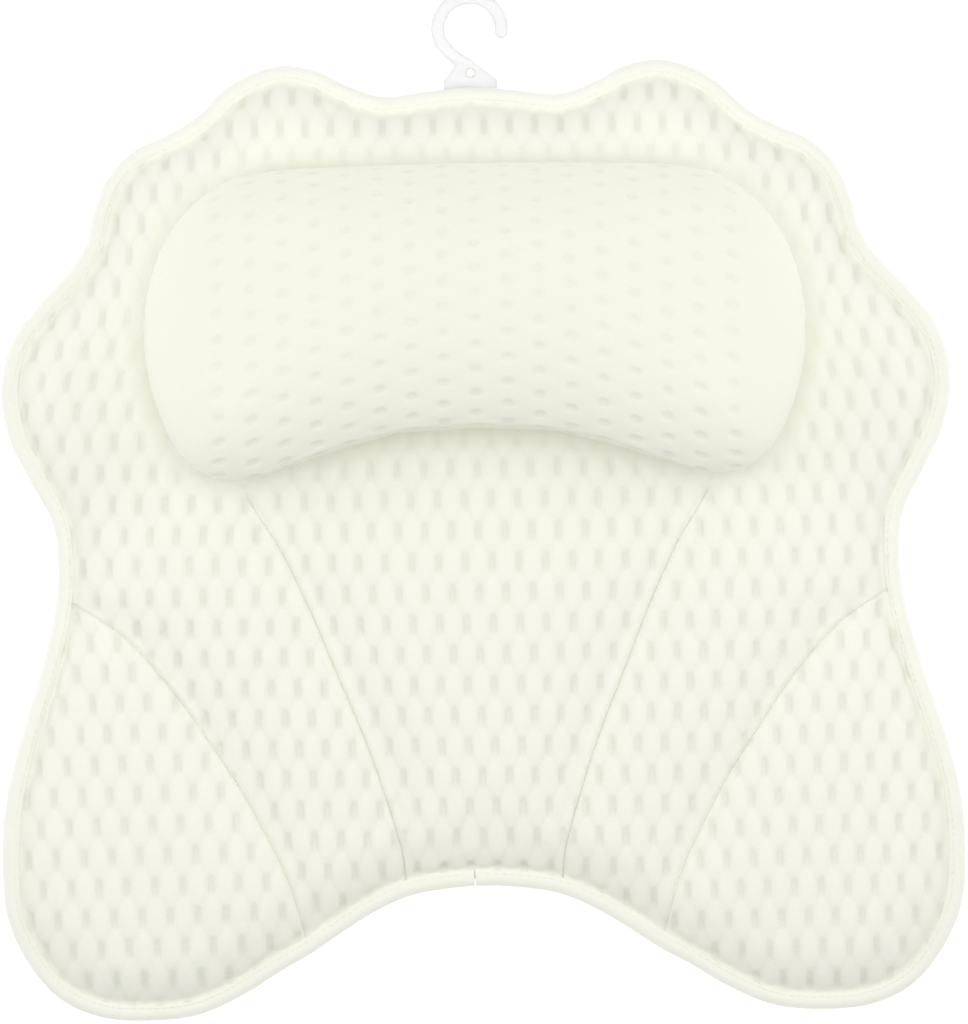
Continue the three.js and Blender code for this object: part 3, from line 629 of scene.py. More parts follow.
def cloth_of_front(flat, beyond):
    """Where each flat place lies on the front's cloth. Past the darts the cloth is shifted,
    and in the collar it is gathered a little."""
    x, y = flat[..., 0] - MIDDLE[0], flat[..., 1] - MIDDLE[1]
    shift = OUTER_SHIFT * (1 - smooth(SHIFT_TO, SHIFT_FROM, y)) * beyond * np.sign(x)
    across = (x - shift) * (1 + COLLAR_SHARE * smooth(COLLAR_FROM, COLLAR_TO, y))
    up = y - PATTERN_START
    return np.stack([across, np.where(up > 0, up * UPPER_SHARE, up)], -1)


def cloth_of_corner(flat, name):
    """Where each flat place lies on a corner panel's cloth, which is cut apart: from the
    place of one slit, turned, and its pitch scaled."""
    spot, pitch, turn = CORNER_CLOTH[name]
    turn = math.radians(turn)
    off = flat - (np.array(spot) * MM + MIDDLE)
    x, y = off[..., 0], off[..., 1]
    return np.stack([(x * math.cos(turn) + y * math.sin(turn)) * pitch,
                     y * math.cos(turn) - x * math.sin(turn)], -1)


def pad_swelling(base, at_corner, at_dart, lines):
    """How far the filling's pressure moves a front panel. Its rim, its seams and what lies
    under the bolster are sewn down."""
    coarse = base[::STRIDE, ::STRIDE]
    rows, columns = coarse.shape[:2]
    floor = with_level(coarse[..., :2], EDGE_TOP - 4 * MM)
    points, faces = backed(coarse, floor, 1)
    flat = coarse[..., :2]
    at_seam = np.minimum(at_corner, at_dart)
    sewn = ((distance_to(lines[0], flat) < ROLL_START) | (at_seam[::STRIDE, ::STRIDE] < 1.5 * MM)
            | inside_of(BOLSTER_EDGE, flat) | (distance_to(BOLSTER_EDGE, flat) < 2 * MM))
    sewn[[0, -1]] = True
    sewn[:, [0, -1]] = True
    held = np.concatenate([sewn.reshape(-1), np.ones(rows * columns, bool)])
    move = swell(points, np.concatenate(faces[:2]), np.flatnonzero(held), PAD_SWELL)
    free = (smooth(0, 4 * MM, at_seam)
            * smooth(ROLL_START, ROLL_START + 4 * MM, distance_to(lines[0], base[..., :2])))
    return (finer(move[:rows * columns].reshape(rows, columns, 3), *base.shape[:2])
            * free[..., None])


def padded_panel(node, flat, cloth_at_points, cloth_at_corners, lines, darts=()):
    """One front panel: the height over its flat grid, the cloth's relief laid along the
    normals, a fold sunk along each dart's column, and a plain back at the cloth's
    thickness."""
    s = sizes()
    height, at_corner, at_dart = front_height(flat, lines)
    for column in darts:
        y = (flat[:, column, 1] - MIDDLE[1]) / HALF[1]
        height[:, column] -= FOLD_DEPTH * smooth(DART_LINE[0][1], DART_LINE[0][1] - FOLD_FADE, y)
    base = with_level(flat, height)
    base += pad_swelling(base, at_corner, at_dart, lines)
    relief = mesh_relief(cloth_at_points, s.slit_width, s.slit_length, 4, s.slit_depth,
                         s.rib_height)
    inside = distance_to(lines[0], flat) - s.binding_width
    at_bolster = distance_to(along(BOLSTER_EDGE, np.linspace(0, len(BOLSTER_EDGE), 120), True)[0],
                             flat)
    free = (smooth(0.3 * MM, SEAM_ALLOWANCE, np.minimum(at_corner, at_dart))
            * smooth(0, 2.4 * MM, inside) * (0.25 + 0.75 * smooth(2 * MM, 9 * MM, at_bolster)))
    top = base + normals_of(base) * (relief * free)[..., None]
    under = base - (0, 0, PANEL_THICKNESS)
    points, faces = backed(top, under, STRIDE)
    # Next to the bolster the slits get less painted shade, which is painted light that lifts the
    # bolster's shadow on the pad.
    piece = make_piece(node + "_mesh", points, faces, "air mesh", node, cloth_at_corners,
                       0.25 + 0.75 * smooth(3 * MM, 12 * MM, at_bolster))


def build_front():
    """The front panel with its two darts, and the two corner panels sewn to it."""
    lines = front_lines()
    upper_rows, lower_rows, middle_count, wing_count = 152, 132, 76, 84
    flat, darts = front_grid(upper_rows, lower_rows, middle_count, wing_count)
    rows, columns = flat.shape[0] - 1, flat.shape[1] - 1
    numbers = np.arange(columns + 1)
    faces_beyond = ((numbers < darts[0]) | (numbers >= darts[1]))[:-1]
    at_corners = cloth_of_front(corner_values(flat), np.tile(faces_beyond, rows)[:, None])
    at_points = cloth_of_front(flat, ((numbers < darts[0]) | (numbers > darts[1]))[None])
    padded_panel("front_panel", flat, at_points, at_corners, lines, darts)
    right = corner_grid(lower_rows, 96)
    mirror = right[:, ::-1] * (-1, 1) + (2 * MIDDLE[0], 0)
    for name, flat in zip(CORNER_CLOTH, (right, mirror)):
        padded_panel(name, flat, cloth_of_corner(flat, name),
                     cloth_of_corner(corner_values(flat), name), lines)


# Bolster

BULGE = BOLSTER[0, 2] + 24 * MM
EDGE_RADIUS = 36 * MM
BOLSTER_CROWN = 2 * MM
DRAW_IN = 2 * MM
BROW = 0.12
BOLSTER_FOOT = CROWN - 0.6 * MM
BOLSTER_SLIT_LENGTH, BOLSTER_SLIT_WIDTH, BOLSTER_SLIT_DEPTH = 5.4 * MM, 4.2 * MM, 0.6 * MM
BOLSTER_RIB = 0.15 * MM
BOLSTER_PITCH, BOLSTER_ROW = 10.8 * MM, 13.25 * MM
BOLSTER_HOLE_Y = 100.9 * MM
# Where the bolster's slits fade out towards its ends, and where the lower rows end whose slits
# get stronger painted shade
BOLSTER_FADE = 104 * MM, 122 * MM
LOWER_ROWS = -52 * MM, -24 * MM
CLOTH_SAG = 1.56
COVER_THICKNESS = 2.4 * MM


def bolster_sections(columns, rows, wall_rows, inset=0.0):
    """The bolster as cross-sections at places that close up towards the ends as a sine does.
    Over the top the height is a quarter circle of the distance to the outline and then a low
    crown; on the side of the shoulders it stops short of the upright, at a brow. The rows are
    even along the surface. Below, both walls draw in to the foot by a quarter wave. Gives the
    grid and the running length over the top from the middle line."""
    turn = np.linspace(-math.pi / 2, math.pi / 2, columns + 1)
    count = len(BOLSTER_EDGE)
    fine, way = along(BOLSTER_EDGE, np.linspace(0, count, 1600, endpoint=False), closed=True)
    fine = fine + square_to(way) * inset
    off = fine[:, 0] - BOLSTER_MIDDLE[0]
    widest = np.argmax(off), np.argmin(off)
    half = off[widest[0]]
    x = half * np.sin(turn)
    angle = np.arcsin(np.clip(off / half, -1, 1))
    numbers = np.arange(len(fine))
    lower = (numbers > widest[0]) & (numbers < widest[1])

    def side(chosen):
        order = np.argsort(angle[chosen])
        ends = fine[widest[1], 1], fine[widest[0], 1]
        return np.interp(turn, np.concatenate([[turn[0]], angle[chosen][order], [turn[-1]]]),
                         np.concatenate([[ends[0]], fine[chosen, 1][order], [ends[1]]]))

    low, high = side(lower), side(~lower)
    dense = np.linspace(0, 1, 181)
    across = 0.5 - 0.5 * np.cos(dense * math.pi)
    y = low[:, None] + (high - low)[:, None] * across[None]
    flat = np.stack([np.repeat(x[:, None], len(dense), 1), y], -1)
    closed = np.vstack([fine, fine[:1]])
    depth = distance_to(closed[::2], flat)
    depth[:, [0, -1]] = 0
    radius = EDGE_RADIUS - inset
    brow = ((1 - smooth(0.45, 0.9, np.abs(np.sin(turn))))[:, None]
            * (1 - smooth(0.1, 0.55, across))[None])
    inner = np.clip(1 - depth / radius, 0, 1) * (1 - BROW * brow)
    z = radius * np.sqrt(1 - inner ** 2) + BOLSTER_CROWN * smooth(0.2, 1.7, depth / radius)
    z[0] = z[-1] = 0
    steps = np.hypot(np.diff(y, axis=1), np.diff(z, axis=1))
    run = np.concatenate([np.zeros((len(x), 1)), np.cumsum(steps, axis=1)], axis=1)
    total = run[:, -1:]
    wanted = np.linspace(0, 1, rows + 1)
    place = np.empty((len(x), rows + 1, 3))
    for column in range(len(x)):
        at = wanted * total[column]
        base = run[column] if total[column] > 0 else dense
        place[column, :, 1] = np.interp(at, base, y[column])
        place[column, :, 2] = np.interp(at, base, z[column])
    place[..., 0] = x[:, None]
    middle_y = MIDDLE[1] + BOLSTER_HOLE_Y - CLOTH_SAG * x ** 2
    middle_run = np.array([np.interp(m, yy, rr) if yy[-1] > yy[0] else 0
                           for m, yy, rr in zip(middle_y, y, run)])
    length = wanted[None] * total - middle_run[:, None]
    place[..., 2] += BULGE
    # the walls, square to the outline at each column's two ends
    rims = place[:, [0, -1]]
    slope = np.gradient(rims[..., :2], turn, axis=0)
    outward = square_to(slope)
    outward[:, 1] *= -1
    outward = unit(outward)
    outward[0], outward[-1] = (-1, 0), (1, 0)
    down = np.linspace(0, 1, wall_rows + 1)[1:]
    draw = (DRAW_IN - 0.5 * inset) * (1 - np.cos(down * math.pi / 2))
    drop = (rims[..., 2] - BOLSTER_FOOT)[..., None] * down
    walls = []
    for end in (0, 1):
        wall = np.repeat(rims[:, end][:, None], wall_rows, axis=1)
        wall[..., :2] -= outward[:, end][:, None] * draw[None, :, None]
        wall[..., 2] -= drop[:, end]
        walls.append(wall)
    grid = np.concatenate([walls[0][:, ::-1], place, walls[1]], axis=1)
    before = length[:, :1] - drop[:, 0, ::-1]
    after = length[:, -1:] + drop[:, 1]
    return grid, np.concatenate([before, length, after], axis=1)


def build_bolster():
    """The bolster's cover: swelled sections with the stretched cloth's relief outside, a
    coarser inner face at the cloth's thickness, and strips that join their feet."""
    s = sizes()
    columns, rows, wall_rows = 344, 152, 16
    grid, run = bolster_sections(columns, rows, wall_rows)
    cloth = np.stack([run * (s.mesh_pitch / BOLSTER_PITCH),
                      np.repeat(grid[:, :1, 0], grid.shape[1], 1) * (s.mesh_row / BOLSTER_ROW)],
                     -1)
    coarse = grid[::STRIDE, ::STRIDE]
    sections, around = coarse.shape[:2]
    held = np.flatnonzero(coarse[..., 2].reshape(-1) < BOLSTER_FOOT + 3 * MM)
    faces = np.concatenate([quads(sections, around), foot_of(sections, around)])
    move = swell(coarse.reshape(-1, 3), faces, held, BOLSTER_SWELL)
    move = finer(move.reshape(sections, around, 3), *grid.shape[:2])
    for end in (0, -1):
        move[end] = (move[end] + move[end, ::-1]) / 2
        move[end, wall_rows:-wall_rows] = move[end, wall_rows]
    grid = grid + move
    relief = mesh_relief(cloth, BOLSTER_SLIT_WIDTH, BOLSTER_SLIT_LENGTH, 2, BOLSTER_SLIT_DEPTH,
                         BOLSTER_RIB)
    free = 1 - smooth(*BOLSTER_FADE, np.abs(grid[..., 0] - BOLSTER_MIDDLE[0]))
    free = free * smooth(BOLSTER_FOOT, BOLSTER_FOOT + 9 * MM, grid[..., 2])
    outer = grid + normals_of(grid) * (relief * free)[..., None]
    inner, _ = bolster_sections(columns // STRIDE, rows // STRIDE, wall_rows // STRIDE,
                                COVER_THICKNESS)
    inner[..., 2] = np.maximum(inner[..., 2] - COVER_THICKNESS * (inner[..., 2] > BULGE),
                               BOLSTER_FOOT)
    start = outer.shape[0] * outer.shape[1]
    points = np.concatenate([outer.reshape(-1, 3), inner.reshape(-1, 3)])
    fine = np.arange(start).reshape(outer.shape[:2])
    coarse = np.arange(inner.shape[0] * inner.shape[1]).reshape(inner.shape[:2]) + start
    faces = [quads(*outer.shape[:2]), quads(*inner.shape[:2], start)[:, ::-1],
             strip(fine[:, 0], coarse[:, 0], STRIDE),
             strip(fine[:, -1], coarse[:, -1], STRIDE)[:, ::-1]]
    # Painted shade: the slits of the lower rows, which face away from the light, are painted
    # darker and those of the upper rows fainter.
    shade = 1.35 - 0.8 * smooth(*LOWER_ROWS, run)
    cover = make_piece("bolster_cover_mesh", points, faces, "bolster mesh", "bolster_cover",
                       corner_values(cloth), free * shade, closes=True)


# Materials


def set_node(tree, node, settings, links):
    """Settings give a node's properties by name and its inputs by number or name, and links
    join other nodes' outputs to its inputs."""
    for key, value in settings.items():
        if isinstance(key, str) and hasattr(node, key):
            setattr(node, key, value)
        else:
            node.inputs[key].default_value = value
    for key, output in links.items():
        tree.links.new(output, node.inputs[key])


def add_node(tree, kind, settings, links, out=0):
    """Adds a node and gives one of its outputs."""
    node = tree.nodes.new("ShaderNode" + kind)
    set_node(tree, node, settings, links)
    return node.outputs[out]


def new_finish(name):
    """A new material, its nodes and its shader."""
    finish = bpy.data.materials.new(name)
    finish.use_nodes = True
    tree = finish.node_tree
    return finish, tree, tree.nodes["Principled BSDF"]


def air_mesh_finish(name, colour, slit_width, slit_length, oblong, groove_shade_strength):
    """Polyester spacer mesh, warp knitted: a matt, slightly fuzzy face of fine loops, with
    open slits where the paler face gives way to spacer threads, painted darker as shade, and
    painted shade in the hollows between the raised ovals. The slits are oblongs or ovals, and
    their painted shade is as strong as the piece's own attribute says."""
    s, c = sizes(), colours()
    finish, tree, shader = new_finish(name)
    place = add_node(tree, "UVMap", {"uv_map": "cloth"}, {})
    step = (s.mesh_pitch, 2 * s.mesh_row, 1)

    def from_nearest(shift, scale):
        """How far a place lies from the nearest spot of a lattice, in scaled steps."""
        moved = add_node(tree, "VectorMath",
                         {"operation": "ADD", 1: (step[0] * shift[0], step[1] * shift[1], 0)},
                         {0: place})
        local = add_node(tree, "VectorMath",
                         {"operation": "WRAP", 1: (step[0] / 2, step[1] / 2, 1),
                          2: (-step[0] / 2, -step[1] / 2, -1)}, {0: moved})
        return add_node(tree, "VectorMath", {"operation": "MULTIPLY", 1: scale}, {0: local})

    def length_of(vector):
        return add_node(tree, "VectorMath", {"operation": "LENGTH"}, {0: vector}, "Value")

    spans = []
    for shift in (0, 0.5):
        off = from_nearest((shift, shift), (2 / slit_width, 2 / slit_length, 0))
        if oblong:
            off = add_node(tree, "VectorMath", {"operation": "MULTIPLY"}, {0: off, 1: off})
        spans.append(length_of(off))
    diamonds = [length_of(from_nearest(shift, (2 / step[0], 2 / step[1], 0)))
                for shift in ((0.5, 0), (0, 0.5))]
    nearest, diamond = (add_node(tree, "Math", {"operation": "MINIMUM"}, {0: one, 1: other})
                        for one, other in (spans, diamonds))
    # Painted shade: the hollows between the ovals and the insides of the slits are mixed towards
    # the slit colour.
    painted_groove_shade = add_node(tree, "MapRange", {"interpolation_type": "SMOOTHSTEP", 1: 0.35, 2: 0.95,
                                         3: 0.0, 4: groove_shade_strength}, {0: diamond})
    slit_painted_shade = add_node(tree, "MapRange",
                       {"interpolation_type": "SMOOTHSTEP", 1: 2.4 if oblong else 1.4,
                        2: 0.0 if oblong else 0.45, 3: 0.0, 4: 1.0}, {0: nearest})
    marks = add_node(tree, "Math", {"operation": "MAXIMUM"}, {0: slit_painted_shade, 1: painted_groove_shade})
    # The piece's attribute sets how strong this painted shade is: weaker on the pad next to the
    # bolster, as painted light, and stronger on the bolster's lower rows.
    slit_shade_share = add_node(tree, "Attribute", {"attribute_name": "open_slits"}, {}, "Fac")
    marks = add_node(tree, "Math", {"operation": "MULTIPLY", "use_clamp": True},
                     {0: marks, 1: slit_shade_share})
    knit = add_node(tree, "TexVoronoi", {"feature": "F1", "Scale": 1 / (0.9 * MM)},
                    {"Vector": place}, "Distance")
    cloud = add_node(tree, "TexNoise", {"Scale": 1 / (45 * MM), "Detail": 2.0},
                     {"Vector": place})
    tint = add_node(tree, "MapRange", {1: 0.3, 2: 0.7, 3: 0.0, 4: 0.05}, {0: cloud})
    face = add_node(tree, "Mix", {"data_type": "RGBA", 6: (*colour, 1), 7: (*c.slit, 1)},
                    {0: tint}, 2)
    face_with_painted_shade = add_node(tree, "Mix", {"data_type": "RGBA", 7: (*c.slit, 1)},
                          {0: marks, 6: face}, 2)
    bump = add_node(tree, "Bump", {"Strength": 0.25, "Distance": 0.25 * MM}, {"Height": knit})
    set_node(tree, shader, {"Roughness": 0.88, "Sheen Weight": 0.12, "Sheen Roughness": 0.5,
                            "Specular IOR Level": 0.25},
             {"Base Color": face_with_painted_shade, "Normal": bump})
    return finish


def cloth_finish(name, colour, thread, ribs, roughness, relief):
    """Woven or knitted polyester trim: threads cross square to each other, so the face is
    matt with a fine regular grain. Ribs, where wanted, run along the tape."""
    finish, tree, shader = new_finish(name)
    place = add_node(tree, "UVMap", {"uv_map": "cloth"}, {})
    # the weave is drawn three times as coarse as real thread, so that it shows
    waves = [add_node(tree, "TexWave",
                      {"wave_type": "BANDS", "bands_direction": way, "Distortion": bent,
                       "Scale": 1 / width / (2 * math.pi), "Detail Scale": 3.0},
                      {"Vector": place}, 1)
             for way, width, bent in (("X", thread, 0.6), ("Y", thread * ribs, 0.4))]
    weave = add_node(tree, "Math", {"operation": "ADD"}, dict(enumerate(waves)))
    cloud = add_node(tree, "TexNoise", {"Scale": 1 / (12 * MM), "Detail": 3.0},
                     {"Vector": place})
    shade = add_node(tree, "MapRange", {1: 0.3, 2: 0.7, 3: 0.0, 4: 0.22}, {0: cloud})
    dark = [part * 0.94 for part in colour[:2]] + [colour[2] * 0.9]
    mixed = add_node(tree, "Mix", {"data_type": "RGBA", 6: (*colour, 1), 7: (*dark, 1)},
                     {0: shade}, 2)
    bump = add_node(tree, "Bump", {"Strength": 0.3, "Distance": relief}, {"Height": weave})
    set_node(tree, shader, {"Roughness": roughness, "Sheen Weight": 0.1,
                            "Specular IOR Level": 0.3}, {"Base Color": mixed, "Normal": bump})
    return finish


def clear_finish(name, colour, roughness, ior, clearness):
    """Clear moulded plastic: light passes through, edges look darker where it bends, and slow
    flow marks from the mould ripple the gloss."""
    finish, tree, shader = new_finish(name)
    place = add_node(tree, "TexCoord", {}, {}, "Object")
    flow = add_node(tree, "TexNoise", {"Scale": 1 / (8 * MM), "Detail": 2.0},
                    {"Vector": place})
    gloss = add_node(tree, "MapRange", {1: 0.3, 2: 0.7, 3: roughness, 4: roughness * 1.8},
                     {0: flow})
    bump = add_node(tree, "Bump", {"Strength": 0.15, "Distance": 0.3 * MM}, {"Height": flow})
    set_node(tree, shader, {"Base Color": (*colour, 1), "IOR": ior,
                            "Transmission Weight": clearness},
             {"Roughness": gloss, "Normal": bump})
    return finish


def filling_finish(name, bright, dark):
    """Springy tangle of polyester threads: bright, very matt and uneven."""
    finish, tree, shader = new_finish(name)
    place = add_node(tree, "TexCoord", {}, {}, "Object")
    tangle = add_node(tree, "TexVoronoi",
                      {"feature": "DISTANCE_TO_EDGE", "Scale": 1 / (2.5 * MM)},
                      {"Vector": place})
    bump = add_node(tree, "Bump", {"Strength": 0.6, "Distance": 0.8 * MM}, {"Height": tangle})
    shade = add_node(tree, "MapRange", {1: 0.0, 2: 0.4, 3: 1.0, 4: 0.0}, {0: tangle})
    mixed = add_node(tree, "Mix", {"data_type": "RGBA", 6: (*bright, 1), 7: (*dark, 1)},
                     {0: shade}, 2)
    set_node(tree, shader, {"Roughness": 0.95}, {"Base Color": mixed, "Normal": bump})
    return finish


# Each kind of finish, once it is made
FINISHES = {}


def finish_of(kind):
    """One finish of each kind, made when it is first asked for."""
    s, c = sizes(), colours()
    makers = {
        "air mesh": (air_mesh_finish, "polyester_air_mesh_knitted", c.mesh, s.slit_width,
                     s.slit_length, True, 0.4),
        "bolster mesh": (air_mesh_finish, "polyester_air_mesh_stretched", c.stretched,
                         BOLSTER_SLIT_WIDTH, BOLSTER_SLIT_LENGTH, False, 0.05),
        "tape": (cloth_finish, "polyester_tape_woven", c.tape, 0.6 * MM, 1.6, 0.8, 0.06 * MM),
        "webbing": (cloth_finish, "polypropylene_webbing_woven", c.webbing, 1.0 * MM, 2, 0.75,
                    0.2 * MM),
        "back": (cloth_finish, "polyester_back_cloth_knitted", c.back, 0.9 * MM, 1, 0.9,
                 0.2 * MM),
        "filling": (filling_finish, "polyester_filling_tangled", c.back, c.slit),
        "hook": (clear_finish, "polycarbonate_moulded_clear", c.hook, 0.1, 1.5, 0.4),
        "vinyl": (clear_finish, "soft_vinyl_moulded_clear", c.vinyl, 0.16, 1.45, 0.85),
    }
    if kind not in FINISHES:
        maker, *values = makers[kind]
        FINISHES[kind] = maker(*values)
    return FINISHES[kind]


# Flat pieces round a middle

CORE_INSET, LINING_INSET = 16 * MM, 6.5 * MM


def disc(name, outline, middle, inset, counts, heights, kind, node):
    """A closed body round a middle point, inside an outline by an inset: evenly spaced rings
    go out over the top and come back below. heights gives the upper and the lower face, each
    as a level or as a function of flat places, and counts the rings and the places round."""
    rings, around = counts
    rim = inwards(outline, evenly(outline, around, closed=True), inset)
    flat = middle + (rim - middle) * np.linspace(0, 1, rings)[:, None, None]
    top, under = (with_level(flat, height(flat) if callable(height) else height)
                  for height in heights)
    grid = np.concatenate([top, under[::-1]])
    faces = quads(len(grid), around, around=True)[:, ::-1]
    return make_piece(name, grid, [faces], kind, node, grid[..., :2], closes=True)


def build_back():
    """The back cover, a flat cloth under the binding, and the lining under the bolster."""
    def sagging(flat):
        off = (flat - MIDDLE) * 30
        return BACK[0, 2] + 0.25 * MM * (1 + np.sin(off[..., 0] * 1.7
                                                    + np.sin(off[..., 1] * 1.3)))

    cover = disc("back_cover_cloth", EDGE, MIDDLE, FLANGE, (24, 288), (BACK[1, 2], sagging),
                 "back", "back_cover")
    low, high = (corner[2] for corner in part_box("bolster_lining"))
    lining = disc("bolster_lining_cloth", BOLSTER_EDGE, BOLSTER_MIDDLE, LINING_INSET, (10, 160),
                  (high, low), "back", "bolster_lining")


def build_fillings():
    """The pad's filling, a cushion whose rim draws in under the rolled edge, and the
    bolster's, the same form as its cover but smaller all round."""
    lines = front_lines()

    def under_front(flat):
        return front_height(flat, lines, deep=False)[0] - PANEL_THICKNESS - 1.2 * MM

    pad = disc("pad_filling_mesh", EDGE, MIDDLE, CORE_INSET, (40, 240),
               (under_front, BACK[1, 2] + 0.4 * MM), "filling", "pad_core")
    room = COVER_THICKNESS + 0.8 * MM
    grid, _ = bolster_sections(88, 40, 5, room)
    grid[..., 2] = np.maximum(grid[..., 2] - room * (grid[..., 2] > BULGE),
                              BOLSTER[0, 2] + 0.2 * MM)
    columns, rows = grid.shape[:2]
    core = make_piece("bolster_filling_mesh", grid,
                      [quads(columns, rows), foot_of(columns, rows)], "filling",
                      "bolster_core", grid[..., :2], closes=True)


# Edge binding and its stitches

BINDING_WALL, BINDING_FALL = 1.1 * MM, 0.9 * MM
BINDING_ROUND, BINDING_POWER = 3.6 * MM, 2.4
WAVER, PUCKER = 0.35 * MM, 0.12 * MM
# Where the tape's ends meet, and half the gap between them, in points of the outline
BUTT_PLACE = 0.237
BUTT_GAP = 0.011
STITCH_INSET = 1.5 * MM


def bottom_first():
    """The pad's outline with its numbers counted from the bottom centre."""
    return np.roll(EDGE, -LAST, axis=0)


def binding_rise(inset):
    """Height of the tape's face over its middle level at an inset: a superellipse round the
    edge, then a gentle fall to where it is sewn down."""
    round_share = np.clip(1 - inset / BINDING_ROUND, 0, 1)
    fall = BINDING_FALL * smooth(3.5 * MM, 7 * MM, inset)
    return BINDING_HALF * (1 - round_share ** BINDING_POWER) ** (1 / BINDING_POWER) - fall


def build_binding():
    """The folded tape: one closed section carried round the pad's outline, from one side of
    the butted ends at the bottom to the other, wavering and puckering a little."""
    s = sizes()
    outline = bottom_first()
    numbers = np.append(evenly(outline, 760, closed=True), len(outline)) + BUTT_PLACE
    numbers[0] += BUTT_GAP
    numbers[-1] -= BUTT_GAP
    place, way = along(outline, numbers, closed=True)
    inward, run = square_to(way), running(place)
    # the outside from the upper edge round to the lower, then the inside back
    inset = np.concatenate([np.linspace(1, 0.5, 5)[:-1] * s.binding_width,
                            (0.5 * s.binding_width) * (1 - np.sin(np.linspace(0, 1, 9)
                                                                  * math.pi / 2))])
    rise = binding_rise(inset)
    outer = np.stack([np.concatenate([inset, inset[-2::-1]]),
                      np.concatenate([rise, -rise[-2::-1]])], -1)
    inner = outer[::-1].copy()
    inner[:, 0] = BINDING_WALL + inner[:, 0] * (1 - BINDING_WALL / s.binding_width)
    inner[:, 1] *= 1 - BINDING_WALL / rise.max()
    section = np.concatenate([outer, inner])
    waver = WAVER * (np.sin(run / (31 * MM)) + 0.6 * np.sin(run / (13.7 * MM) + 1))
    pucker = PUCKER * np.sin(run * 2 * math.pi / (2.2 * s.stitch_length))
    width = section[:, 0] / s.binding_width
    steps = section[:, 0] + (waver + pucker)[:, None] * width ** 2
    points = with_level(place[:, None] + inward[:, None] * steps[..., None],
                        section[:, 1] + BINDING_LEVEL)
    uv = np.stack(np.meshgrid(run, running(section), indexing="ij"), -1)
    make_piece("edge_binding_tape", points, tube(len(place), len(section)), "tape",
               "edge_binding", uv, soft=50)


def stitches(name, places, ways, ups, slot):
    """Short threads, each a spindle of six sides whose half thickness is the root of a sine
    along it, a little sunk into the cloth at its ends."""
    s = sizes()
    turn = angles(6)[:, None]
    share = np.linspace(0, 1, 6)[:, None]
    bow = np.sin(share * math.pi)
    radius = s.thread / 2
    centre = (places[:, None] + ways[:, None] * (share - 0.5) * s.stitch_length * 0.86
              + ups[:, None] * radius * (0.9 * bow - 0.4))
    ring = (np.cross(ways, ups)[:, None, None] * np.cos(turn)
            + ups[:, None, None] * np.sin(turn))
    points = centre[:, :, None] + ring * radius * np.sqrt(bow + 0.02)[:, None]
    one = quads(6, 6, around=True)
    ends = np.array([[0, 1, 2, 3], [0, 3, 4, 5]])
    one = np.concatenate([one, ends, 30 + ends[:, ::-1]])
    faces = (one[None] + 36 * np.arange(len(places))[:, None, None]).reshape(-1, 4)
    uv = np.tile(np.array([[0, 0], [0, 1], [1, 1], [1, 0]]) * MM, (len(faces), 1))
    make_piece(name, points, [faces], "tape", uv=uv, slot=slot)


def build_binding_stitches():
    """Lockstitches along both faces of the tape, a little in from its sewn edge."""
    s = sizes()
    outline = bottom_first()
    length = running(along(outline, np.linspace(0, len(outline), 2000), True)[0])[-1]
    count = int(length / s.stitch_length)
    numbers = evenly(outline, count, closed=True) + 0.5 * len(outline) / count
    place, way = along(outline, numbers, closed=True)
    inset = s.binding_width - STITCH_INSET
    flat = place + square_to(way) * inset
    rise = binding_rise(np.array([inset]))[0]
    both = [with_level(flat, BINDING_LEVEL + side * rise) for side in (1, -1)]
    ups = np.repeat([[0, 0, 1.0], [0, 0, -1.0]], count, axis=0)
    stitches("edge_binding_stitches", np.concatenate(both), np.tile(with_level(way, 0), (2, 1)),
             ups, "binding_tape")


# Hanging hook and its loop

HOOK_INNER_RADIUS = 10.4 * MM
HOOK_BAR = 5.6 * MM
HOOK_THICKNESS = 3.6 * MM
HOOK_FOOT_THICKNESS = 2.4 * MM
HOOK_BEVEL = 0.9 * MM
HOOK_TIP, HOOK_TURN = math.radians(-6), math.radians(205)
HOOK_FOOT_HALF = 11 * MM
HOOK_SLOT_HALF = 8 * MM
HOOK_FOOT_BAR = 2.5 * MM
HOOK_SLOT_END, HOOK_SLOT_ROUND = 3.9 * MM, 0.8 * MM
# Above the pad's edge: the shank's two sides end, the foot's shoulder, the shank's middle line
# ends, and the eye's middle
HOOK_WAIST, HOOK_SHOULDER = 8.6 * MM, 12.4 * MM
HOOK_FOOT_TOP, HOOK_SHANK_END, HOOK_EYE = 3 * MM, 9.4 * MM, 6 * MM
HOOK_EYE_RADIUS = 1.5 * MM
LOOP_WIDTH, LOOP_REACH = 14 * MM, 19.5 * MM
WEB_THICKNESS = 1.2 * MM
LOOP_RADIUS = 2.65 * MM


def rounded(corners, radius, steps=5):
    """A closed outline whose corners are cut back by a radius and bridged by a parabola."""
    corners = np.asarray(corners, float)
    to_before = np.roll(corners, 1, 0) - corners
    to_after = np.roll(corners, -1, 0) - corners
    lengths = [np.linalg.norm(way, axis=1, keepdims=True) for way in (to_before, to_after)]
    cut = [corners + way / length * np.minimum(radius, length * 0.45)
           for way, length in zip((to_before, to_after), lengths)]
    t = np.linspace(0, 1, steps)[None, :, None]
    bridge = (cut[0][:, None] * (1 - t) ** 2 + 2 * corners[:, None] * t * (1 - t)
              + cut[1][:, None] * t ** 2)
    return bridge.reshape(-1, 2)


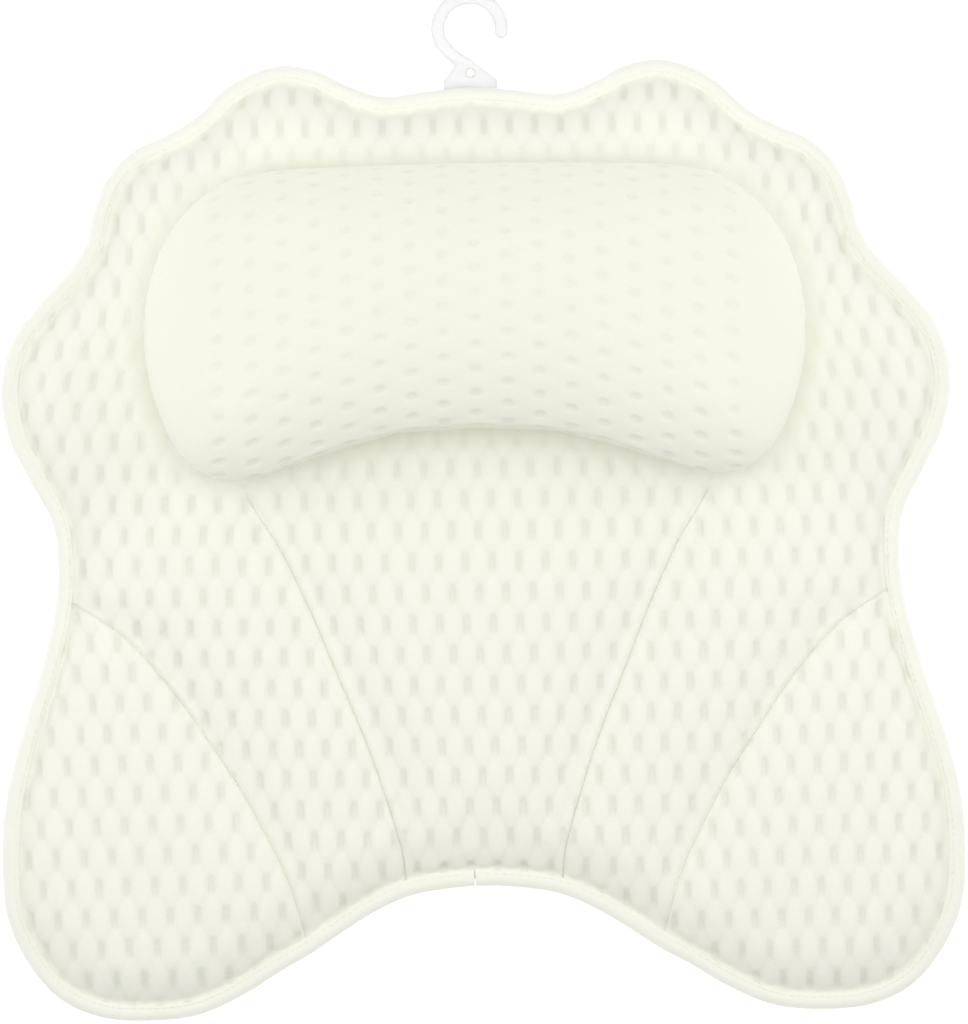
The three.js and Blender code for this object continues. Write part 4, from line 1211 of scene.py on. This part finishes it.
def moulded(name, outlines, level, thickness, bevel):
    """A flat moulded plate: closed outlines filled, holes left open, both faces rounded over."""
    curve = bpy.data.curves.new(name, "CURVE")
    curve.dimensions = "2D"
    curve.fill_mode = "BOTH"
    for outline in outlines:
        spline = curve.splines.new("POLY")
        spline.points.add(len(outline) - 1)
        weighted = with_level(with_level(outline, 0), 1)
        spline.points.foreach_set("co", weighted.astype(np.float32).reshape(-1))
        spline.use_cyclic_u = True
    curve.extrude = thickness / 2 - bevel
    curve.bevel_depth = bevel
    curve.bevel_resolution = 3
    curve.offset = -bevel
    holder = bpy.data.objects.new(name, curve)
    bpy.context.scene.collection.objects.link(holder)
    bpy.context.view_layer.update()
    mesh = bpy.data.meshes.new_from_object(holder)
    bpy.data.objects.remove(holder)
    bpy.data.curves.remove(curve)
    places = np.empty(len(mesh.vertices) * 3, np.float32)
    mesh.vertices.foreach_get("co", places)
    return mesh, places.reshape(-1, 3) + (0, 0, level)


def build_hook():
    """The hook: a round bar along an arc and a bent shank into a flat foot, as one moulded
    plate with a slot for the webbing and an eye, thinner at the foot."""
    pivot_y, level = HOOK_PIVOT[1], HOOK_PIVOT[2]
    top_edge = EDGE[0, 1]
    arc_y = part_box("hanging_hook")[1][1] - HOOK_INNER_RADIUS - HOOK_BAR
    radius = HOOK_INNER_RADIUS + HOOK_BAR / 2
    turn = np.linspace(HOOK_TIP, HOOK_TURN, 48)
    arc = circle(turn) * radius + (0, arc_y)
    t = np.linspace(0, 1, 18)[1:, None]
    end = arc[-1]
    bend = np.array([end[0] * 0.45, top_edge + (end[1] - top_edge) * 0.55])
    foot_top = np.array([0, top_edge + HOOK_SHANK_END])
    shank = end * (1 - t) ** 2 + 2 * bend * t * (1 - t) + foot_top * t ** 2
    line = np.vstack([arc, shank])
    way = unit(np.gradient(line, axis=0))
    across = square_to(way) * HOOK_BAR / 2
    outer, inner = line + across, line - across
    tip_turn = np.linspace(0, math.pi, 9)[1:-1, None]
    tip = line[0] - across[0] * np.cos(tip_turn) - way[0] * np.sin(tip_turn) * HOOK_BAR / 2
    base = pivot_y - HOOK_FOOT_BAR / 2
    shoulder = top_edge + HOOK_FOOT_TOP
    outer = outer[outer[:, 1] > top_edge + HOOK_WAIST]
    inner = inner[inner[:, 1] > top_edge + HOOK_SHOULDER]
    foot = [(-HOOK_FOOT_HALF, shoulder), (-HOOK_FOOT_HALF, base), (HOOK_FOOT_HALF, base),
            (HOOK_FOOT_HALF, shoulder)]
    silhouette = np.vstack([tip, outer, foot, inner[::-1]])
    near, far = pivot_y + HOOK_FOOT_BAR / 2, pivot_y + HOOK_SLOT_END
    slot = rounded([(-HOOK_SLOT_HALF, near), (-HOOK_SLOT_HALF, far), (HOOK_SLOT_HALF, far),
                    (HOOK_SLOT_HALF, near)], HOOK_SLOT_ROUND)
    eye_turn = np.linspace(2 * math.pi, 0, 24, endpoint=False)
    eye = circle(eye_turn) * HOOK_EYE_RADIUS + (0, top_edge + HOOK_EYE)
    mesh, places = moulded("hanging_hook_clear", [silhouette, slot, eye], level,
                           HOOK_THICKNESS, HOOK_BEVEL)
    thin = HOOK_FOOT_THICKNESS / HOOK_THICKNESS
    share = thin + (1 - thin) * smooth(top_edge + 4 * MM, top_edge + 14 * MM, places[:, 1])
    places[:, 2] = level + (places[:, 2] - level) * share
    mesh.vertices.foreach_set("co", places.astype(np.float32).reshape(-1))
    add_piece("hanging_hook_clear", mesh, "hook", "hanging_hook", "hook", closes=True, soft=40)


def build_loop():
    """The webbing loop: it leaves the back cover, turns round the hook's foot bar in a half
    circle and comes back under itself."""
    y, z = HOOK_PIVOT[1], HOOK_PIVOT[2]
    far, near = y - LOOP_REACH, y - 10 * MM
    half = WEB_THICKNESS / 2
    upper = z + LOOP_RADIUS
    turn = np.linspace(math.pi / 2, -math.pi / 2, 17)
    arc = circle(turn) * LOOP_RADIUS + (y, z)
    back_t = smooth(0, 1, np.linspace(0, 1, 12))[1:]
    back = np.stack([np.linspace(y, near, 12)[1:],
                     z - LOOP_RADIUS + (upper - 2.1 * half - z + LOOP_RADIUS) * back_t], -1)
    line = np.vstack([np.stack([np.linspace(far, y, 14)[:-1], np.full(13, upper)], -1), arc, back,
                      [(far, upper - 2.1 * half)]])
    way = unit(np.gradient(line, axis=0))
    ups = np.stack([0 * way[:, 0], -way[:, 1], way[:, 0]], -1)
    path = np.concatenate([np.zeros((len(line), 1)), line], -1)
    # a flat section with round edges is carried along the path, its width along X
    turn = circle(angles(24))
    side, rise = (np.sign(turn) * np.abs(turn) ** (0.35, 0.6) * (LOOP_WIDTH / 2, half * 0.94)).T
    points = path[:, None] + ups[:, None] * rise[:, None]
    points[..., 0] += side
    uv = np.stack(np.meshgrid(running(path), side, indexing="ij"), -1)
    make_piece("hanging_loop_webbing", points, tube(len(path), len(side)), "webbing",
               "hanging_loop", uv, soft=60)


# Suction cups and their straps

CUP_RADIUS = 27 * MM
CUP_TAB_REACH = 7 * MM
CUP_TAB_HALF = 6.2 * MM
# The cup's section from the middle of its hollow over the rim to the middle of its head
CUP_PROFILE = [
    (0, 5.4), (5, 5.35), (10, 5.0), (14, 4.3), (18, 3.1), (21.5, 1.6), (24, 0.4), (25, 0.06),
    (25.8, 0), (26.6, 0.1), (27, 0.55), (26.9, 1.1), (26.2, 1.5), (24, 2.2), (21, 3.9),
    (18, 5.8), (14.5, 7.7), (11, 9.1), (8, 9.75), (6, 9.98), (5.3, 10.15), (5.02, 10.6),
    (5, 11.3), (5.15, 11.75), (6, 11.8), (8.3, 11.8), (8.85, 12), (9, 12.5), (9, 13.6),
    (8.7, 14.4), (8, 14.95), (7, 15.18), (4, 15.2), (0, 15.2),
]
STRAP_HALF_LENGTH, STRAP_HALF_WIDTH, STRAP_POWER = 32 * MM, 12.5 * MM, 10
STRAP_HOLE = 5.4 * MM
STRAP_THICKNESS = 1.1 * MM
# Sewn boxes along X and along Y, from a strap's middle and from the hook's pivot
STRAP_BOX = np.array([(23.5, 29.5), (-10, 10)]) * MM
LOOP_BOX = np.array([(-5.2, 5.2), (-18, -12.5)]) * MM


def build_cups():
    """Six cups turned from one section; near a pull tab the rim's radius grows by a smooth
    plateau of the angle."""
    section = np.array(CUP_PROFILE) * MM
    turn = angles(112)
    off = np.abs(np.mod(turn + math.pi, 2 * math.pi) - math.pi) * CUP_RADIUS
    tab = 1 - smooth(CUP_TAB_HALF * 0.75, CUP_TAB_HALF, off)
    outer = smooth(25.2 * MM, 26.4 * MM, section[:, 0]) * (section[:, 1] < 3 * MM)
    radius = section[:, :1] + CUP_TAB_REACH * outer[:, None] * tab * np.sqrt(np.clip(
        1 - (off / (CUP_TAB_HALF * 1.3)) ** 2, 0, 1))
    faces = quads(len(section), len(turn), around=True)[:, ::-1]
    uv = np.stack(np.meshgrid(turn * CUP_RADIUS, running(section)), -1)
    for i, centre in CUPS.items():
        spin = 0 if centre[0] > MIDDLE[0] else math.pi
        flat = centre[:2] + radius[..., None] * circle(turn + spin)
        make_piece(f"suction_cup_{i}_vinyl", with_level(flat, section[:, 1:]), [faces],
                   "vinyl", f"suction_cup_{i}", uv, body=f"cup_{i}", closes=True)


def strap_levels():
    """Levels of a strap's middle at its hole and at its ends."""
    low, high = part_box("cup_strap_1")
    return low[2] + WEB_THICKNESS / 2, high[2] - WEB_THICKNESS / 2


def build_straps():
    """Six webbing straps: rings that turn from the round hole to the strap's outline, once
    over the top and once back under. The middle is level over the cup's head, then comes a
    smooth slope, and the ends are level."""
    around, rings = 96, 15
    turn = circle(angles(around))
    reach = ((np.abs(turn / (STRAP_HALF_LENGTH, STRAP_HALF_WIDTH)) ** STRAP_POWER).sum(-1)
             ** (-1 / STRAP_POWER))
    share = np.linspace(0, 1, rings)[:, None]
    flat = (STRAP_HOLE + (reach - STRAP_HOLE) * share)[..., None] * turn
    half = STRAP_THICKNESS / 2 * (1 - 0.35 * np.abs(2 * share - 1) ** 12)
    low, high = strap_levels()
    z = low + (high - low) * smooth(11.5 * MM, 20.5 * MM, np.abs(flat[..., 0]))
    grid = np.concatenate([with_level(flat, z + half), with_level(flat, z - half)[::-1]])
    last = (2 * rings - 1) * around
    ring = np.arange(around)
    close = np.stack([last + ring, ring, np.roll(ring, -1), last + np.roll(ring, -1)], -1)
    for i, centre in CUPS.items():
        make_piece(f"cup_strap_{i}_webbing", grid + (*centre[:2], 0),
                   [quads(2 * rings, around, around=True), close], "webbing",
                   f"cup_strap_{i}", grid[..., :2], soft=60)


def box_of(x, y, pitch):
    """Places and directions of stitches along a rectangle's four sides, one pitch apart."""
    corners = np.array([(x[0], y[0]), (x[1], y[0]), (x[1], y[1]), (x[0], y[1])])
    places, ways = [], []
    for start, end in zip(corners, np.roll(corners, -1, 0)):
        side = np.linalg.norm(end - start)
        count = max(1, int(round(side / pitch)))
        share = (np.arange(count)[:, None] + 0.5) / count
        places.append(start + (end - start) * share)
        ways.append(np.repeat((end - start)[None] / side, count, 0))
    return np.concatenate(places), np.concatenate(ways)


def build_webbing_stitches():
    """A sewn box through each strap end and one through the end of the hook's loop."""
    s = sizes()
    _, high = strap_levels()
    boxes = [(centre[0] + side * STRAP_BOX[0], centre[1] + STRAP_BOX[1],
              high - STRAP_THICKNESS / 2) for centre in CUPS.values() for side in (1, -1)]
    loop_under = HOOK_PIVOT[2] + LOOP_RADIUS - 1.55 * WEB_THICKNESS
    boxes.append((MIDDLE[0] + LOOP_BOX[0], HOOK_PIVOT[1] + LOOP_BOX[1], loop_under))
    places, ways = [], []
    for x, y, level in boxes:
        flat, way = box_of(x, y, s.stitch_length)
        places.append(with_level(flat, level))
        ways.append(with_level(way, 0))
    places, ways = np.concatenate(places), np.concatenate(ways)
    ups = np.tile([0, 0, -1.0], (len(places), 1))
    stitches("webbing_stitches", places, ways, ups, "webbing")


# Stage


FRAME_WIDTH = 401.6 * MM
CAMERA_HEIGHT = 7.0
CAMERA_AT = (2.5 * MM, -3.9 * MM)
CAMERA_ROLL = math.radians(-1)
SENSOR = 36.0
WORLD_STRENGTH = 0.59
WORLD_SLOPE = 0.14
FLOOR_GLOW = 0.42
FLOOR_HALF = 5.0
# Each lamp: name, place, size and power
LAMPS = [("front", (0, 0.1, 3), 1.6, 24.0), ("left", (-2, 0.3, 1.6), 1.4, 5.0),
         ("right", (2, 0.3, 1.6), 1.4, 5.0), ("near_left", (-0.33, 0.06, 0.36), 0.25, 0.18),
         ("near_right", (0.33, 0.06, 0.36), 0.25, 0.18)]


def build_stage():
    """A white floor and a white room, soft lamps, and a camera straight above the front."""
    scene = bpy.context.scene
    scene.view_settings.view_transform = "Standard"
    camera_data = bpy.data.cameras.new("camera")
    camera_data.sensor_width = SENSOR
    camera_data.sensor_fit = "HORIZONTAL"
    camera_data.lens = SENSOR * (CAMERA_HEIGHT - EDGE_TOP) / FRAME_WIDTH
    camera_data.clip_end = 20
    camera = bpy.data.objects.new("camera", camera_data)
    camera.location = (*CAMERA_AT, CAMERA_HEIGHT)
    camera.rotation_euler = (0, 0, CAMERA_ROLL)
    scene.collection.objects.link(camera)
    scene.camera = camera
    world = bpy.data.worlds.new("soft_studio")
    world.use_nodes = True
    # a white room that is a little brighter on the hook's side than on the arch's
    tree = world.node_tree
    way = add_node(tree, "TexCoord", {}, {}, "Generated")
    up = add_node(tree, "SeparateXYZ", {}, {0: way}, 1)
    strength = add_node(tree, "MapRange",
                        {1: -1.0, 2: 1.0, 3: WORLD_STRENGTH * (1 - WORLD_SLOPE),
                         4: WORLD_STRENGTH * (1 + WORLD_SLOPE)}, {0: up})
    white = (*linear("#FFFFFF"), 1)
    set_node(tree, tree.nodes["Background"], {"Color": white}, {"Strength": strength})
    scene.world = world
    for name, place, size, power in LAMPS:
        light = bpy.data.lights.new(name, "AREA")
        light.size = size
        light.energy = power
        lamp = bpy.data.objects.new(name, light)
        lamp.location = place
        lamp.visible_camera = False
        aim = Vector((0, 0, 0.03)) - Vector(place)
        lamp.rotation_euler = aim.to_track_quat("-Z", "Y").to_euler()
        scene.collection.objects.link(lamp)
    floor = bpy.data.meshes.new("floor")
    floor.from_pydata([(x * FLOOR_HALF, y * FLOOR_HALF, 0)
                       for x, y in ((-1, -1), (1, -1), (1, 1), (-1, 1))], [], [(0, 1, 2, 3)])
    paint, tree, shader = new_finish("studio_floor_white_painted")
    set_node(tree, shader, {"Base Color": (*linear("#F7F7F7"), 1), "Roughness": 0.9,
                            "Emission Color": white, "Emission Strength": FLOOR_GLOW}, {})
    floor.materials.append(paint)
    ground = bpy.data.objects.new("floor", floor)
    scene.collection.objects.link(ground)


# The add-on


class PILLOW_OT_stage(bpy.types.Operator):
    """Add the floor, the lights and the camera"""

    bl_idname = "pillow.stage"
    bl_label = "Stage"

    def execute(self, context):
        build_stage()
        return {"FINISHED"}


class PILLOW_OT_front(bpy.types.Operator):
    """Build the front panel and the two corner panels"""

    bl_idname = "pillow.front"
    bl_label = "Front panels"

    def execute(self, context):
        build_front()
        return {"FINISHED"}


class PILLOW_OT_back(bpy.types.Operator):
    """Build the back cover and the bolster's lining"""

    bl_idname = "pillow.back"
    bl_label = "Back cloths"

    def execute(self, context):
        build_back()
        return {"FINISHED"}


class PILLOW_OT_fillings(bpy.types.Operator):
    """Build the fillings of the pad and the bolster"""

    bl_idname = "pillow.fillings"
    bl_label = "Fillings"

    def execute(self, context):
        build_fillings()
        return {"FINISHED"}


class PILLOW_OT_binding(bpy.types.Operator):
    """Build the edge binding"""

    bl_idname = "pillow.binding"
    bl_label = "Edge binding"

    def execute(self, context):
        build_binding()
        return {"FINISHED"}


class PILLOW_OT_stitches(bpy.types.Operator):
    """Sew the edge binding"""

    bl_idname = "pillow.stitches"
    bl_label = "Binding stitches"

    def execute(self, context):
        build_binding_stitches()
        return {"FINISHED"}


class PILLOW_OT_bolster(bpy.types.Operator):
    """Build the bolster's cover"""

    bl_idname = "pillow.bolster"
    bl_label = "Bolster cover"

    def execute(self, context):
        build_bolster()
        return {"FINISHED"}


class PILLOW_OT_hook(bpy.types.Operator):
    """Build the hanging hook"""

    bl_idname = "pillow.hook"
    bl_label = "Hanging hook"

    def execute(self, context):
        build_hook()
        return {"FINISHED"}


class PILLOW_OT_loop(bpy.types.Operator):
    """Build the webbing loop of the hook"""

    bl_idname = "pillow.loop"
    bl_label = "Hanging loop"

    def execute(self, context):
        build_loop()
        return {"FINISHED"}


class PILLOW_OT_cups(bpy.types.Operator):
    """Build the six suction cups"""

    bl_idname = "pillow.cups"
    bl_label = "Suction cups"

    def execute(self, context):
        build_cups()
        return {"FINISHED"}


class PILLOW_OT_straps(bpy.types.Operator):
    """Build the six straps that hold the cups"""

    bl_idname = "pillow.straps"
    bl_label = "Cup straps"

    def execute(self, context):
        build_straps()
        return {"FINISHED"}


class PILLOW_OT_webbing_stitches(bpy.types.Operator):
    """Sew the straps and the loop"""

    bl_idname = "pillow.webbing_stitches"
    bl_label = "Webbing stitches"

    def execute(self, context):
        build_webbing_stitches()
        return {"FINISHED"}


STEPS = [
    PILLOW_OT_stage, PILLOW_OT_front, PILLOW_OT_back, PILLOW_OT_fillings, PILLOW_OT_binding,
    PILLOW_OT_stitches, PILLOW_OT_bolster, PILLOW_OT_hook, PILLOW_OT_loop, PILLOW_OT_cups,
    PILLOW_OT_straps, PILLOW_OT_webbing_stitches,
]


class PILLOW_PT_panel(bpy.types.Panel):
    """Lists the sizes, the colours and the building steps."""

    bl_label = "Bath pillow"
    bl_space_type = "VIEW_3D"
    bl_region_type = "UI"
    bl_category = "Pillow"

    def draw(self, context):
        for step in STEPS:
            self.layout.operator(step.bl_idname)
        for group in (context.scene.pillow_sizes, context.scene.pillow_colours):
            box = self.layout.box()
            for key in group.__annotations__:
                box.prop(group, key)


CLASSES = [PillowSizes, PillowColours, *STEPS, PILLOW_PT_panel]


def register():
    for one in CLASSES:
        bpy.utils.register_class(one)
    bpy.types.Scene.pillow_sizes = PointerProperty(type=PillowSizes)
    bpy.types.Scene.pillow_colours = PointerProperty(type=PillowColours)


def unregister():
    del bpy.types.Scene.pillow_sizes
    del bpy.types.Scene.pillow_colours
    for one in reversed(CLASSES):
        bpy.utils.unregister_class(one)


def main():
    """Registers the add-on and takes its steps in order."""
    register()
    for step in STEPS:
        getattr(bpy.ops.pillow, step.bl_idname.split(".")[1])()
    bpy.context.view_layer.update()


if __name__ == "__main__":
    main()
